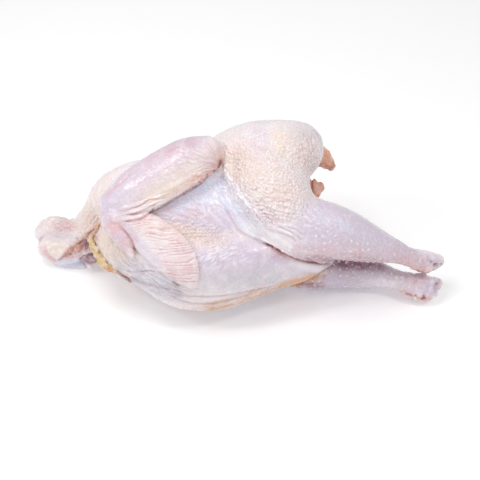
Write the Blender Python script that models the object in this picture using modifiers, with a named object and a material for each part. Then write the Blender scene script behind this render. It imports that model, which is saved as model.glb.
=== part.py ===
"""A whole dressed rooster: plucked, drawn, head and feet off, lying on its right side.

The bird is a set of lobes: trunk, breast, shoulders, hips, thighs, drumsticks, neck, wings,
tail and folds of loose skin. Each lobe is a loft of elliptic sections along a smooth path. The
large lobes are joined first, and smoothed where skin bridges from one to the next. The wings,
the folds and the tail are joined after that, so they keep a crease where they lie on the skin.

The lobes are laid out in the bird's side view, in millimetres:
    x     from the neck towards the tail
    up    towards the back
    near  towards whoever looks at the bird's left side
One turn about X then lays the bird down the way it rests on a table.
"""

import math

import bmesh
import bpy
import numpy as np
from mathutils import Matrix, Vector

MM = 0.001

# How far the side view is tipped back from the horizontal when the bird lies on the table, how
# far the bird is rolled in that view, and how deep its soft underside is pressed flat, by a
# floor block this many metres on each side.
SIDE_TURN = math.radians(45)
BODY_ROLL = 17.0
SAG = 3.5
FLOOR_SIDE = 1.0

# The lofts: sides of a section, rings for each millimetre of path, and the rings of a round end.
SIDES = 28
RINGS_PER_MM = 0.22
FEWEST_RINGS = 8
CAP_ANGLES = (30, 58, 78)
KEEL = 0.3

# The skin: size of its cells, rounds of smoothing over the bridges and everywhere, and the
# triangles left at the end.
CORE_VOXEL = 2.4
SKIN_VOXEL = 1.8
BRIDGE_SMOOTHING = 60
SKIN_SMOOTHING = 4
TRIANGLES = 9600

SKIN_COLOUR = (0.80, 0.62, 0.58, 1.0)
SKIN_ROUGHNESS = 0.45
SHARP_ANGLE = math.radians(60)

# Each station of a lobe: x, up, near, half-height across the path, half-depth.
TRUNK = (
    (-122, -10, 3, 20, 20),
    (-111, -9, 3, 37, 35),
    (-95, -9, 3, 48.5, 44),
    (-72, -10, 3, 56.5, 50),
    (-36, -9, 3, 64, 53),
    (-2, -3.5, 1, 65, 51),
    (22, 2, -1, 56, 44),
    (38, 6, -2, 45, 28),
)
BREAST = (
    (-119, -28, 8, 10, 14),
    (-106, -32, 11, 21, 28),
    (-80, -39, 13, 27.5, 42),
    (-51, -47, 15, 36.5, 50),
    (-30, -49.5, 15, 36.5, 51),
    (0, -45.5, 14, 33, 48),
    (28, -41, 13, 26, 40),
    (50, -41, 13, 20.5, 30),
    (67, -40, 13, 13.5, 20),
    (77, -40, 12, 7, 10),
)
SHOULDER = (
    (-130, 2.5, 4, 13, 13),
    (-122, 7, 12, 17.5, 17),
    (-112, 18, 22, 19.5, 20),
    (-91, 26.5, 28, 20.5, 20),
    (-70, 32, 28, 17.5, 18),
)
WING_BED = (
    (-86, -5, 41, 10, 9),
    (-76, 4, 44, 13, 11),
    (-60, 14, 45, 14, 12),
    (-43, 24, 44, 14, 12),
    (-33, 29.5, 42, 13, 12),
    (-24, 37, 39, 12, 11),
    (-17.5, 46, 37, 9.5, 10),
)
HIP_LEFT = (
    (-27, 41, 6, 20.5, 22),
    (-5, 51, 13, 26, 30),
    (18, 55, 22, 28.5, 34),
    (35, 55, 25, 28.5, 35),
    (49, 56, 23, 27, 33),
    (59, 57.5, 17, 22, 27),
    (66, 58.5, 13, 13, 15),
    (68, 58.5, 11, 4, 4),
)
HIP_RIGHT = (
    (-27, 41, 6, 20.5, 22),
    (-5, 51, 13, 26, 30),
    (14, 55, 20, 28.5, 33),
    (30, 54.5, 18, 25.5, 28),
    (41, 53, 14, 18, 18),
    (46, 52, 12, 9, 10),
)
THIGH = (
    (21, 42, 34, 31.5, 31),
    (26, 22.5, 40, 35.5, 34),
    (38, 2.5, 44, 30, 32),
    (50, -10.5, 45, 26, 27),
)
DRUMSTICK_LEFT = (
    (40, -6, 46, 24, 26),
    (62, -11, 44, 25.5, 27),
    (78, -14.5, 41, 24, 26),
    (92, -18.5, 36, 22, 24),
    (107, -23.5, 29, 18.5, 20),
    (122, -28, 21, 14.5, 16.5),
    (137, -32.5, 12, 11, 12.5),
    (152, -38, 3, 8.5, 10),
    (163, -41, -5, 10.2, 10.5),
    (172, -42.3, -9, 10.2, 10),
    (179, -41.3, -11, 7, 9),
)
DRUMSTICK_RIGHT = (
    (45, -39, -34, 24, 24),
    (67, -43, -34, 25, 26),
    (84, -45.5, -34, 23.5, 25),
    (99, -48, -32, 20.5, 22),
    (114, -51, -29, 16.5, 18),
    (127, -54, -26, 12.5, 14),
    (141, -58, -23, 9.2, 11),
    (149, -60.7, -21, 9.6, 11),
    (157, -64, -20, 12, 11),
    (166, -66, -20, 13.4, 11.5),
    (174, -65.2, -20, 12.2, 10.5),
    (180, -62.5, -20, 6.5, 8.5),
)
FLANK_FOLD = (
    (-14, 47, 38, 7, 9),
    (0, 22, 47.5, 7.7, 9),
    (14, 1, 53, 8.5, 9),
    (32, -15, 52.5, 8.5, 9),
    (54, -27, 48, 7.7, 9),
    (70, -34.5, 41, 6, 8),
    (78, -39, 34, 3.5, 6),
)
WING = (
    (-109, 7.5, 47, 13, 12),
    (-95, 14.5, 49, 19.5, 15),
    (-77, 24.5, 50, 22.5, 17),
    (-58, 36.5, 51, 22, 18),
    (-41, 46, 50, 20.5, 17),
    (-28, 51, 47, 17, 14.5),
)
FOREARM = (
    (-109, 1.5, 52, 7.5, 7),
    (-94, 5.5, 54, 10, 9),
    (-75, 14, 56, 12, 9.5),
    (-56, 25, 57, 12.5, 10),
    (-39, 35.5, 55, 12, 10),
    (-29, 42, 52, 9.5, 9),
)
HAND = (
    (-109, -1, 54, 7.5, 6.5),
    (-97, -7, 54.5, 11.5, 6),
    (-81.7, -14.9, 57, 16.7, 5.7),
    (-69, -24.5, 60, 17.9, 5.4),
    (-58, -33.6, 63, 17.8, 5),
    (-49.4, -43, 64, 15, 4.8),
    (-43.5, -53, 62.5, 10, 4.4),
    (-40.5, -60, 58, 5, 3.6),
)
HAND_ROLL = -10.0
THUMB = (
    (-112, -5, 52, 8, 6),
    (-103.5, -15.5, 53, 8.5, 5.5),
    (-97, -25.5, 53.5, 6.6, 4.8),
    (-92.5, -34.5, 52, 2.8, 3),
)
NECK_UPPER = (
    (-115, 6, 2, 21.5, 22),
    (-133, -5, -14, 16, 18),
    (-149, -12, -32, 9.7, 14),
    (-163, -12, -42, 9.8, 13),
    (-176, -11, -48, 11.3, 13),
    (-184, -15.5, -50, 10.2, 11.5),
)
NECK_LOWER = (
    (-181, -30, -52, 11, 12),
    (-169.5, -33, -54, 13, 14),
    (-155.5, -30, -48, 13, 13),
    (-140, -22.5, -36, 12, 14),
)
NECK_FLAP = (
    (-177, -40.5, -58, 5.2, 5),
    (-164, -43.5, -60, 6.2, 5),
    (-152, -44, -58, 5.7, 4.5),
    (-147, -45.5, -57, 3.8, 3.5),
)
NECK_END = (
    (-146.5, -37.5, -44, 5.6, 7),
    (-138.5, -39, -40, 6.5, 8),
    (-135.5, -39, -38, 5, 6),
)
FAT_RIM = (
    (-123.3, -8.4, 24, 1.2, 2.4),
    (-127.5, -14, 19.5, 1.7, 3.0),
    (-131.5, -21, 13, 2.6, 4.5),
    (-129.3, -29.6, 9, 3.7, 6),
    (-125, -37, 9, 3.8, 6),
    (-120.6, -43, 12, 4.4, 6),
    (-115.3, -47, 16, 3.4, 5),
    (-109, -49.2, 21, 2.2, 4),
)
TAIL = (
    (58, 58.5, -10, 13.5, 15),
    (69, 56, -14, 10.5, 12),
    (77.5, 50.5, -16, 8.2, 9),
    (83, 45.5, -17, 4.8, 6),
)
VENT_FLAP = (
    (54.5, 23.5, -10, 9.7, 13),
    (65.5, 23.5, -12, 9.6, 10),
    (70.5, 24.8, -13, 8.2, 7),
)

# Where skin bridges from lobe to lobe: (x, up, near) and reach. The smoothing is full near the
# centre and fades out at the reach, and BRIDGE_EDGE sets how soon it starts to fade.
BRIDGE_EDGE = 1.6
BRIDGES = (
    ((-122, 18, 14), 52),
    ((20, 55, 10), 66),
    ((34, 22, 24), 62),
    ((54, 40, 38), 46),
    ((55, -10, 40), 38),
    ((50, -40, -30), 44),
    ((-36, -36, 20), 84),
    ((-118, -25, 14), 40),
)


def smooth_rows(stations):
    """Catmull-Rom through the stations, by distance along the path, read evenly."""
    rows = np.array(stations, float)
    steps = np.linalg.norm(np.diff(rows[:, :3], axis=0), axis=1)
    knots = np.concatenate([[0.0], np.cumsum(steps)])
    slopes = np.gradient(rows, knots, axis=0)
    read = np.linspace(0, knots[-1], max(FEWEST_RINGS, round(knots[-1] * RINGS_PER_MM)))
    span = np.clip(np.searchsorted(knots, read, side="right") - 1, 0, len(rows) - 2)
    width = (knots[span + 1] - knots[span])[:, None]
    t = (read - knots[span])[:, None] / width
    return (
        (2 * t**3 - 3 * t**2 + 1) * rows[span]
        + (t**3 - 2 * t**2 + t) * width * slopes[span]
        + (3 * t**2 - 2 * t**3) * rows[span + 1]
        + (t**3 - t**2) * width * slopes[span + 1]
    )


def round_end(end, beyond):
    """Rings that shrink from the end row, along the direction beyond."""
    reach = min(end[3], end[4])
    rings = []
    for angle in np.radians(CAP_ANGLES):
        centre = end[:3] + beyond / np.linalg.norm(beyond) * reach * math.sin(angle)
        rings.append(np.concatenate([centre, end[3:] * math.cos(angle)]))
    return rings


def with_round_ends(rows):
    before = round_end(rows[0], rows[0, :3] - rows[1, :3])
    after = round_end(rows[-1], rows[-1, :3] - rows[-2, :3])
    return np.array(before[::-1] + list(rows) + after)


def section_axes(rows, roll):
    """For each ring, the unit directions of its half-height and its half-depth."""
    tangent = np.gradient(rows[:, :3], axis=0)
    tangent /= np.linalg.norm(tangent, axis=1)[:, None]
    near = np.array([0.0, 0.0, 1.0])
    deep = near - (tangent @ near)[:, None] * tangent
    deep /= np.linalg.norm(deep, axis=1)[:, None]
    across = np.cross(deep, tangent)
    turn = math.radians(roll)
    return (
        across * math.cos(turn) - deep * math.sin(turn),
        across * math.sin(turn) + deep * math.cos(turn),
    )


def section_points(row, across, deep, keel):
    """The points round one ring. keel draws its lower half in towards a ridge."""
    points = []
    for angle in np.linspace(0, 2 * math.pi, SIDES, endpoint=False):
        narrow = 1 - keel * max(0.0, -math.cos(angle)) ** 2
        high = across * row[3] * math.cos(angle)
        wide = deep * row[4] * math.sin(angle) * narrow
        points.append((row[:3] + high + wide) * MM)
    return points


def mirror_matrix():
    """Reflects in the plane that halves the bird, which is rolled by BODY_ROLL in its view."""
    turn = math.radians(BODY_ROLL)
    left = Vector((0, math.sin(turn), math.cos(turn)))
    return Matrix.Scale(-1, 4, left)


def lobe(name, stations, roll=0.0, keel=0.0, mirrored=False):
    """A closed loft of elliptic sections along the path of the stations."""
    rows = with_round_ends(smooth_rows(stations))
    across, deep = section_axes(rows, roll)
    mesh = bpy.data.meshes.new(name)
    bm = bmesh.new()
    rings = []
    for row, a, d in zip(rows, across, deep):
        rings.append([bm.verts.new(point) for point in section_points(row, a, d, keel)])
    for one, two in zip(rings, rings[1:]):
        for k in range(SIDES):
            after = (k + 1) % SIDES
            bm.faces.new((one[k], one[after], two[after], two[k]))
    bm.faces.new(rings[0])
    bm.faces.new(rings[-1])
    if mirrored:
        bm.transform(mirror_matrix())
    bmesh.ops.recalc_face_normals(bm, faces=bm.faces)
    bm.to_mesh(mesh)
    bm.free()
    return bpy.data.objects.new(name, mesh)


def pair(name, stations, roll=0.0):
    return [lobe(name + "_left", stations, roll), lobe(name + "_right", stations, roll, mirrored=True)]


def core_lobes():
    """What the skin is stretched over: trunk, breast, shoulders, legs and root of the neck."""
    return [
        lobe("trunk", TRUNK, roll=BODY_ROLL),
        lobe("breast", BREAST, roll=BODY_ROLL, keel=KEEL),
        lobe("hip_left", HIP_LEFT),
        lobe("hip_right", HIP_RIGHT, mirrored=True),
        lobe("drumstick_left", DRUMSTICK_LEFT),
        lobe("drumstick_right", DRUMSTICK_RIGHT),
        lobe("neck_upper", NECK_UPPER),
        *pair("shoulder", SHOULDER),
        *pair("wing_bed", WING_BED),
        *pair("thigh", THIGH),
    ]


def fold_lobes():
    """What lies on the skin or hangs from it, and keeps a crease where it meets it."""
    return [
        lobe("neck_lower", NECK_LOWER),
        lobe("neck_flap", NECK_FLAP),
        lobe("neck_end", NECK_END),
        lobe("fat_rim", FAT_RIM),
        lobe("tail", TAIL),
        lobe("vent_flap", VENT_FLAP),
        *pair("flank_fold", FLANK_FOLD),
        *pair("wing", WING),
        *pair("forearm", FOREARM),
        *pair("hand", HAND, roll=HAND_ROLL),
        *pair("thumb", THUMB),
    ]


def apply_modifiers(obj):
    graph = bpy.context.evaluated_depsgraph_get()
    applied = bpy.data.meshes.new_from_object(obj.evaluated_get(graph))
    obj.modifiers.clear()
    before = obj.data
    obj.data = applied
    bpy.data.meshes.remove(before)


def join(body, others):
    """One Boolean union of the body with all the others, which are then removed."""
    joining = bpy.data.collections.new("joining")
    bpy.context.scene.collection.children.link(joining)
    for other in others:
        joining.objects.link(other)
    union = body.modifiers.new("join", "BOOLEAN")
    union.operation = "UNION"
    union.operand_type = "COLLECTION"
    union.collection = joining
    union.solver = "MANIFOLD"
    apply_modifiers(body)
    for other in others:
        bpy.data.objects.remove(other)
    bpy.data.collections.remove(joining)


def draw_skin(body, voxel):
    """One even skin over the joined lobes."""
    skin = body.modifiers.new("skin", "REMESH")
    skin.mode = "VOXEL"
    skin.voxel_size = voxel * MM
    apply_modifiers(body)


def smooth(body, rounds, group=""):
    settle = body.modifiers.new("settle", "SMOOTH")
    settle.factor = 0.5
    settle.iterations = rounds
    settle.vertex_group = group
    apply_modifiers(body)


def points_of(body):
    points = np.empty(len(body.data.vertices) * 3)
    body.data.vertices.foreach_get("co", points)
    return points.reshape(-1, 3)


def smooth_bridges(body):
    """Smooths where skin bridges two lobes, and leaves the rest."""
    group = body.vertex_groups.new(name="bridges")
    points = points_of(body) / MM
    weight = np.zeros(len(points))
    for centre, reach in BRIDGES:
        distance = np.linalg.norm(points - np.array(centre), axis=1) / reach
        inside = np.clip(BRIDGE_EDGE * (1 - distance), 0, 1)
        weight = np.maximum(weight, inside * inside * (3 - 2 * inside))
    for index in np.flatnonzero(weight):
        group.add([int(index)], float(weight[index]), "REPLACE")
    smooth(body, BRIDGE_SMOOTHING, group.name)
    body.vertex_groups.clear()


def set_down(body, sunk=0.0):
    """Puts the middle of the bird at X = Y = 0 and its lowest point at Z = -sunk."""
    points = points_of(body)
    low, high = points.min(axis=0), points.max(axis=0)
    middle = (low + high) / 2
    body.data.transform(Matrix.Translation((-middle[0], -middle[1], -low[2] - sunk)))


def thin_out(body):
    """Fewer triangles where the skin is smooth."""
    body.data.calc_loop_triangles()
    fewer = body.modifiers.new("thin_out", "DECIMATE")
    fewer.ratio = TRIANGLES / len(body.data.loop_triangles)
    apply_modifiers(body)


def press_flat(body):
    """Cuts off what sank below the floor, which leaves flat spots for the bird to lie on."""
    mesh = bpy.data.meshes.new("floor")
    bm = bmesh.new()
    bmesh.ops.create_cube(bm, size=FLOOR_SIDE)
    bm.transform(Matrix.Translation((0, 0, -FLOOR_SIDE / 2)))
    bm.to_mesh(mesh)
    bm.free()
    floor = bpy.data.objects.new("floor", mesh)
    bpy.context.scene.collection.objects.link(floor)
    cut = body.modifiers.new("press_flat", "BOOLEAN")
    cut.operation = "DIFFERENCE"
    cut.object = floor
    cut.solver = "MANIFOLD"
    apply_modifiers(body)
    bpy.data.objects.remove(floor)


def skin_material():
    material = bpy.data.materials.new("poultry_skin")
    material.use_nodes = True
    surface = material.node_tree.nodes["Principled BSDF"]
    surface.inputs["Base Color"].default_value = SKIN_COLOUR
    surface.inputs["Roughness"].default_value = SKIN_ROUGHNESS
    return material


def main():
    for obj in list(bpy.data.objects):
        bpy.data.objects.remove(obj)
    parts = bpy.data.collections.new("dressed_rooster")
    bpy.context.scene.collection.children.link(parts)
    core = core_lobes()
    body = core[0]
    body.name = "dressed_rooster"
    parts.objects.link(body)
    join(body, core[1:])
    draw_skin(body, CORE_VOXEL)
    smooth_bridges(body)
    join(body, fold_lobes())
    draw_skin(body, SKIN_VOXEL)
    smooth(body, SKIN_SMOOTHING)
    body.data.transform(Matrix.Rotation(SIDE_TURN, 4, "X"))
    set_down(body, sunk=SAG * MM)
    thin_out(body)
    press_flat(body)
    set_down(body)
    body.data.shade_smooth()
    body.data.set_sharp_from_angle(angle=SHARP_ANGLE)
    body.data.materials.append(skin_material())


main()
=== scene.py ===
"""A whole dressed rooster, lying on its right side: its skin, folds, wrinkles, flesh and fat.

The bird is made in its side view, in millimetres, from the same lobes as the solid:
    x     from the neck towards the tail
    up    towards the back
    near  towards whoever looks at the bird's left side
Creases, wrinkles and tints are placed in the drawing: the side view as it shows from the eye, on
the plane through the bird's middle, in millimetres. What is drawn on the left half holds for the
right half too, mirrored. Each finished piece is then laid down in the frame.
"""

import math
from typing import NamedTuple

import bmesh
import bpy
import numpy as np
from bpy.props import FloatProperty, FloatVectorProperty, PointerProperty
from mathutils import Matrix, Vector


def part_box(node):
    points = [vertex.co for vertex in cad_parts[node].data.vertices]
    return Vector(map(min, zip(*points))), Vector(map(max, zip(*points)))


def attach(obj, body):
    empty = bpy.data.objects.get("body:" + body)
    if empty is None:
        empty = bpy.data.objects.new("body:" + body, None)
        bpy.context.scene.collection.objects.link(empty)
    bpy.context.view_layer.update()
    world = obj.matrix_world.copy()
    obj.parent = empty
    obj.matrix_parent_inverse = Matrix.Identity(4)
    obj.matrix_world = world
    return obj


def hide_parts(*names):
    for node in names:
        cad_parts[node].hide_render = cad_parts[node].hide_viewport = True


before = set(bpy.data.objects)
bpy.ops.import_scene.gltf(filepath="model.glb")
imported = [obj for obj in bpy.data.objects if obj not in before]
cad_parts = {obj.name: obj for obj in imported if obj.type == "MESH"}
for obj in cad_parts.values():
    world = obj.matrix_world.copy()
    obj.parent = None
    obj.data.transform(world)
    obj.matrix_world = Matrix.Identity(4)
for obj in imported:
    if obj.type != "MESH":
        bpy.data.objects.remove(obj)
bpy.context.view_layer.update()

bl_info = {
    "name": "Dressed rooster",
    "version": (1, 0, 0),
    "blender": (4, 5, 0),
    "location": "3D View > Sidebar > Rooster",
    "description": "A whole plucked and drawn rooster, lying on its right side",
    "category": "Object",
}

MM = 0.001
NODE = "dressed_rooster"
BODY = "root"

# The side view: its tilt from the horizontal when the bird lies down, the bird's roll in it, how
# far away the eye is, and the height that the eye looks at.
SIDE_TURN = math.radians(45)
BODY_ROLL = 17.0
EYE_NEAR = 1020.0
EYE_UP = -22.5

# The lofts: sides of a section, rings for each millimetre of path and at least, the rings of a
# round end, and how much the breast's section narrows towards its keel.
SIDES = 28
RINGS_PER_MM = 0.22
FEWEST_RINGS = 8
CAP_ANGLES = (30, 58, 78)
KEEL = 0.3

# Each station of a lobe: x, up, near, half-height across the path, half-depth.
TRUNK = (
    (-122, -10, 3, 20, 20),
    (-111, -9, 3, 37, 35),
    (-95, -9, 3, 48.5, 44),
    (-72, -10, 3, 56.5, 50),
    (-36, -9, 3, 64, 53),
    (-2, -3.5, 1, 65, 51),
    (22, 2, -1, 56, 44),
    (38, 6, -2, 45, 28),
)
BREAST = (
    (-119, -28, 8, 10, 14),
    (-106, -32, 11, 21, 28),
    (-80, -39, 13, 27.5, 42),
    (-51, -47, 15, 36.5, 50),
    (-30, -49.5, 15, 36.5, 51),
    (0, -45.5, 14, 33, 48),
    (28, -41, 13, 26, 40),
    (50, -41, 13, 20.5, 30),
    (67, -40, 13, 13.5, 20),
    (77, -40, 12, 7, 10),
)
SHOULDER = (
    (-130, 2.5, 4, 13, 13),
    (-122, 7, 12, 17.5, 17),
    (-112, 18, 22, 19.5, 20),
    (-91, 26.5, 28, 20.5, 20),
    (-70, 32, 28, 17.5, 18),
)
# The flesh that swells up along the folded wing's edge.
WING_BED = (
    (-86, -5, 41, 10, 9),
    (-76, 4, 44, 13, 11),
    (-60, 14, 45, 14, 12),
    (-43, 24, 44, 14, 12),
    (-33, 29.5, 42, 13, 12),
    (-24, 37, 39, 12, 11),
    (-17.5, 46, 37, 9.5, 10),
)
HIP_LEFT = (
    (-27, 41, 6, 20.5, 22),
    (-5, 51, 13, 26, 30),
    (18, 55, 22, 28.5, 34),
    (35, 55, 25, 28.5, 35),
    (49, 56, 23, 27, 33),
    (58, 57.5, 17, 22, 27),
    (64.5, 58.5, 13, 13, 15),
    (66.5, 58.5, 11, 4, 4),
)
HIP_RIGHT = (
    (-27, 41, 6, 20.5, 22),
    (-5, 51, 13, 26, 30),
    (14, 55, 20, 28.5, 33),
    (30, 54.5, 18, 25.5, 28),
    (41, 53, 14, 18, 18),
    (46, 52, 12, 9, 10),
)
THIGH = (
    (21, 42, 34, 31.5, 31),
    (26, 22.5, 40, 35.5, 34),
    (38, 2.5, 44, 30, 32),
    (50, -10.5, 45, 26, 27),
)
DRUMSTICK_LEFT = (
    (40, -6, 46, 24, 26),
    (62, -11, 44, 25.5, 27),
    (78, -14.5, 41, 24, 26),
    (92, -18.5, 36, 22, 24),
    (107, -23.5, 29, 18.5, 20),
    (122, -28, 21, 14.5, 16.5),
    (137, -32.5, 12, 11, 12.5),
    (152, -38, 3, 8.5, 10),
    (163, -41, -5, 10.2, 10.5),
    (172, -42.3, -9, 10.2, 10),
    (179, -41.3, -11, 7, 9),
)
DRUMSTICK_RIGHT = (
    (45, -39, -34, 24, 24),
    (67, -43, -34, 25, 26),
    (84, -45.5, -34, 23.5, 25),
    (99, -48, -32, 20.5, 22),
    (114, -51, -29, 16.5, 18),
    (127, -54, -26, 12.5, 14),
    (141, -58, -23, 9.2, 11),
    (149, -60.7, -21, 9.6, 11),
    (157, -64, -20, 12, 11),
    (166, -66, -20, 13.4, 11.5),
    (174, -65.2, -20, 12.2, 10.5),
    (180, -62.5, -20, 6.5, 8.5),
)
FLANK_FOLD = (
    (-14, 47, 38, 7, 9),
    (0, 22, 47.5, 7.7, 9),
    (14, 1, 53, 8.5, 9),
    (32, -15, 52.5, 8.5, 9),
    (54, -27, 48, 7.7, 9),
    (70, -34.5, 41, 6, 8),
    (78, -39, 34, 3.5, 6),
)
WING = (
    (-109, 7.5, 47, 13, 12),
    (-95, 14.5, 49, 19.5, 15),
    (-77, 24.5, 50, 22.5, 17),
    (-58, 36.5, 51, 22, 18),
    (-41, 46, 50, 20.5, 17),
    (-28, 51, 47, 17, 14.5),
)
FOREARM = (
    (-109, 1.5, 52, 7.5, 7),
    (-94, 5.5, 54, 10, 9),
    (-75, 14, 56, 12, 9.5),
    (-56, 25, 57, 12.5, 10),
    (-39, 35.5, 55, 12, 10),
    (-29, 42, 52, 9.5, 9),
)
HAND = (
    (-109, -1, 54, 7.5, 6.5),
    (-97, -7, 54.5, 11.5, 6),
    (-81.7, -14.9, 57, 16.7, 5.7),
    (-69, -24.5, 60, 17.9, 5.4),
    (-58, -33.6, 63, 17.8, 5),
    (-49.4, -43, 64, 15, 4.8),
    (-43.5, -53, 62.5, 10, 4.4),
    (-40.5, -60, 58, 5, 3.6),
)
# How far the hand is rolled about its own line, in degrees.
HAND_ROLL = -10.0
THUMB = (
    (-112, -5, 52, 8, 6),
    (-103.5, -15.5, 53, 8.5, 5.5),
    (-97, -25.5, 53.5, 6.6, 4.8),
    (-92.5, -34.5, 52, 2.8, 3),
)
NECK_UPPER = (
    (-115, 6, 2, 21.5, 22),
    (-133, -5, -14, 16, 18),
    (-149, -12, -32, 9.7, 14),
    (-163, -12, -42, 9.8, 13),
    (-176, -11, -48, 11.3, 13),
    (-184, -15.5, -50, 10.2, 11.5),
)
NECK_LOWER = (
    (-181, -30, -52, 11, 12),
    (-169.5, -33, -54, 13, 14),
    (-155.5, -30, -48, 13, 13),
    (-140, -22.5, -36, 12, 14),
)
NECK_FLAP = (
    (-177, -40.5, -58, 5.2, 5),
    (-164, -43.5, -60, 6.2, 5),
    (-152, -44, -58, 5.7, 4.5),
    (-147, -45.5, -57, 3.8, 3.5),
)
NECK_END = (
    (-146.5, -37.5, -44, 5.6, 7),
    (-138.5, -39, -40, 6.5, 8),
    (-135.5, -39, -38, 5, 6),
)
FAT_RIM = (
    (-123.3, -8.4, 24, 1.2, 2.4),
    (-127.5, -14, 19.5, 1.7, 3.0),
    (-131.5, -21, 13, 2.6, 4.5),
    (-129.3, -29.6, 9, 3.7, 6),
    (-125, -37, 9, 3.8, 6),
    (-120.6, -43, 12, 4.4, 6),
    (-115.3, -47, 16, 3.4, 5),
    (-109, -49.2, 21, 2.2, 4),
)
# A thin strip of loose skin between the neck's cut end and the flap. Only the scene has it.
NECK_STRIP = (
    (-141.5, -47.5, -51, 3.0, 2.8),
    (-143.2, -42, -43, 2.6, 2.8),
    (-143.5, -35, -38, 1.8, 2.4),
)
TAIL = (
    (58, 58.5, -10, 13.5, 15),
    (69, 56, -14, 10.5, 12),
    (77.5, 50.5, -16, 8.2, 9),
    (83, 45.5, -17, 4.8, 6),
)
VENT_FLAP = (
    (54.5, 23.5, -10, 9.7, 13),
    (65.5, 23.5, -12, 9.6, 10),
    (70, 24.8, -13, 8.4, 7.2),
    (72.6, 25.4, -13, 5, 4.2),
)

# Where skin bridges from lobe to lobe: (x, up, near) and reach. The smoothing is full near the
# centre and fades out at the reach, and BRIDGE_EDGE sets how soon it starts to fade.
BRIDGE_EDGE = 1.6
BRIDGE_CELL = 2.4
BRIDGE_SMOOTHING = 60
BRIDGES = (
    ((-122, 18, 14), 52),
    ((20, 55, 10), 66),
    ((34, 22, 24), 62),
    ((54, 40, 38), 46),
    ((55, -10, 40), 38),
    ((50, -40, -30), 44),
    ((-36, -36, 20), 84),
    ((-118, -25, 14), 40),
    ((-162, -22, -46), 20),
)

# The features of the skin. Each is on both "halves" of the bird, one the mirror image of the
# other, or as seen from the eye: on what is "facing" it, or "through" the whole depth.


class Crease(NamedTuple):
    """A groove along a line of the drawing, with a rounded lip on the left of the line.

    fade is the share of the line over which it comes in, and the share over which it goes out.
    """

    line: tuple
    width: float
    depth: float
    lip: float = 0.0
    raw: float = 0.0
    flush: float = 0.0
    fade: tuple = (0.12, 0.12)
    on: str = "halves"


class Wrinkles(NamedTuple):
    """Folds round a place of the drawing. They run at an angle, spacing apart and run long."""

    place: tuple
    reach: tuple
    angle: float
    spacing: float
    run: float
    height: float
    turn: float = 0.0
    even: bool = False
    flush: float = 0.25
    pale: float = 0.0
    on: str = "halves"


class Fan(NamedTuple):
    """Wrinkles that spread out from a centre, round a place of the drawing."""

    centre: tuple
    place: tuple
    reach: tuple
    spacing: float
    run: float
    height: float
    turn: float = 0.0
    flush: float = 0.3
    pale: float = 0.0


class Pebbles(NamedTuple):
    """Goose flesh: close small bumps with fine lines between, in rows at an angle."""

    place: tuple
    reach: tuple
    size: float
    height: float
    angle: float = 0.0
    stretch: float = 1.0
    turn: float = 0.0
    flush: float = 0.3
    on: str = "halves"


class Lumps(NamedTuple):
    """Round lumps of one size round a place of the drawing."""

    place: tuple
    reach: tuple
    size: float
    height: float
    turn: float = 0.0
    on: str = "halves"


class Pit(NamedTuple):
    """A small dark hole, at a place as seen from the eye."""

    place: tuple
    radius: float
    depth: float


class Tint(NamedTuple):
    """A patch of one of the skin's masks. The higher its edge, the more sudden."""

    mask: str
    place: tuple
    reach: tuple
    amount: float
    turn: float = 0.0
    on: str = "halves"
    edge: float = 3.0


class Streak(NamedTuple):
    """A line of one of the skin's masks."""

    mask: str
    line: tuple
    width: float
    amount: float
    on: str = "halves"


# What the skin's colours are mixed by, in the order in which they lie over each other, and where
# follicles and quill holes stand.
# Pale, flush, mauve and the dark red mask also lay painted light and shade, as marked.
MASKS = (
    "cream", "lilac", "grey", "blue", "flush", "fat",
    "tan", "rust", "flesh", "pale", "mauve", "raw",
)
HAIRS = ("follicles", "quills")

# The first seed of each kind of feature, on the skin and on the bare ends. The next of its kind
# has the next seed.
CREASE_SEED = 100
WRINKLE_SEED = 10
FAN_SEED = 30
PEBBLE_SEED = 30
LUMP_SEED = 40
TINT_SEED = 60
END_LUMP_SEED = 80
END_CREASE_SEED = 90
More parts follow.
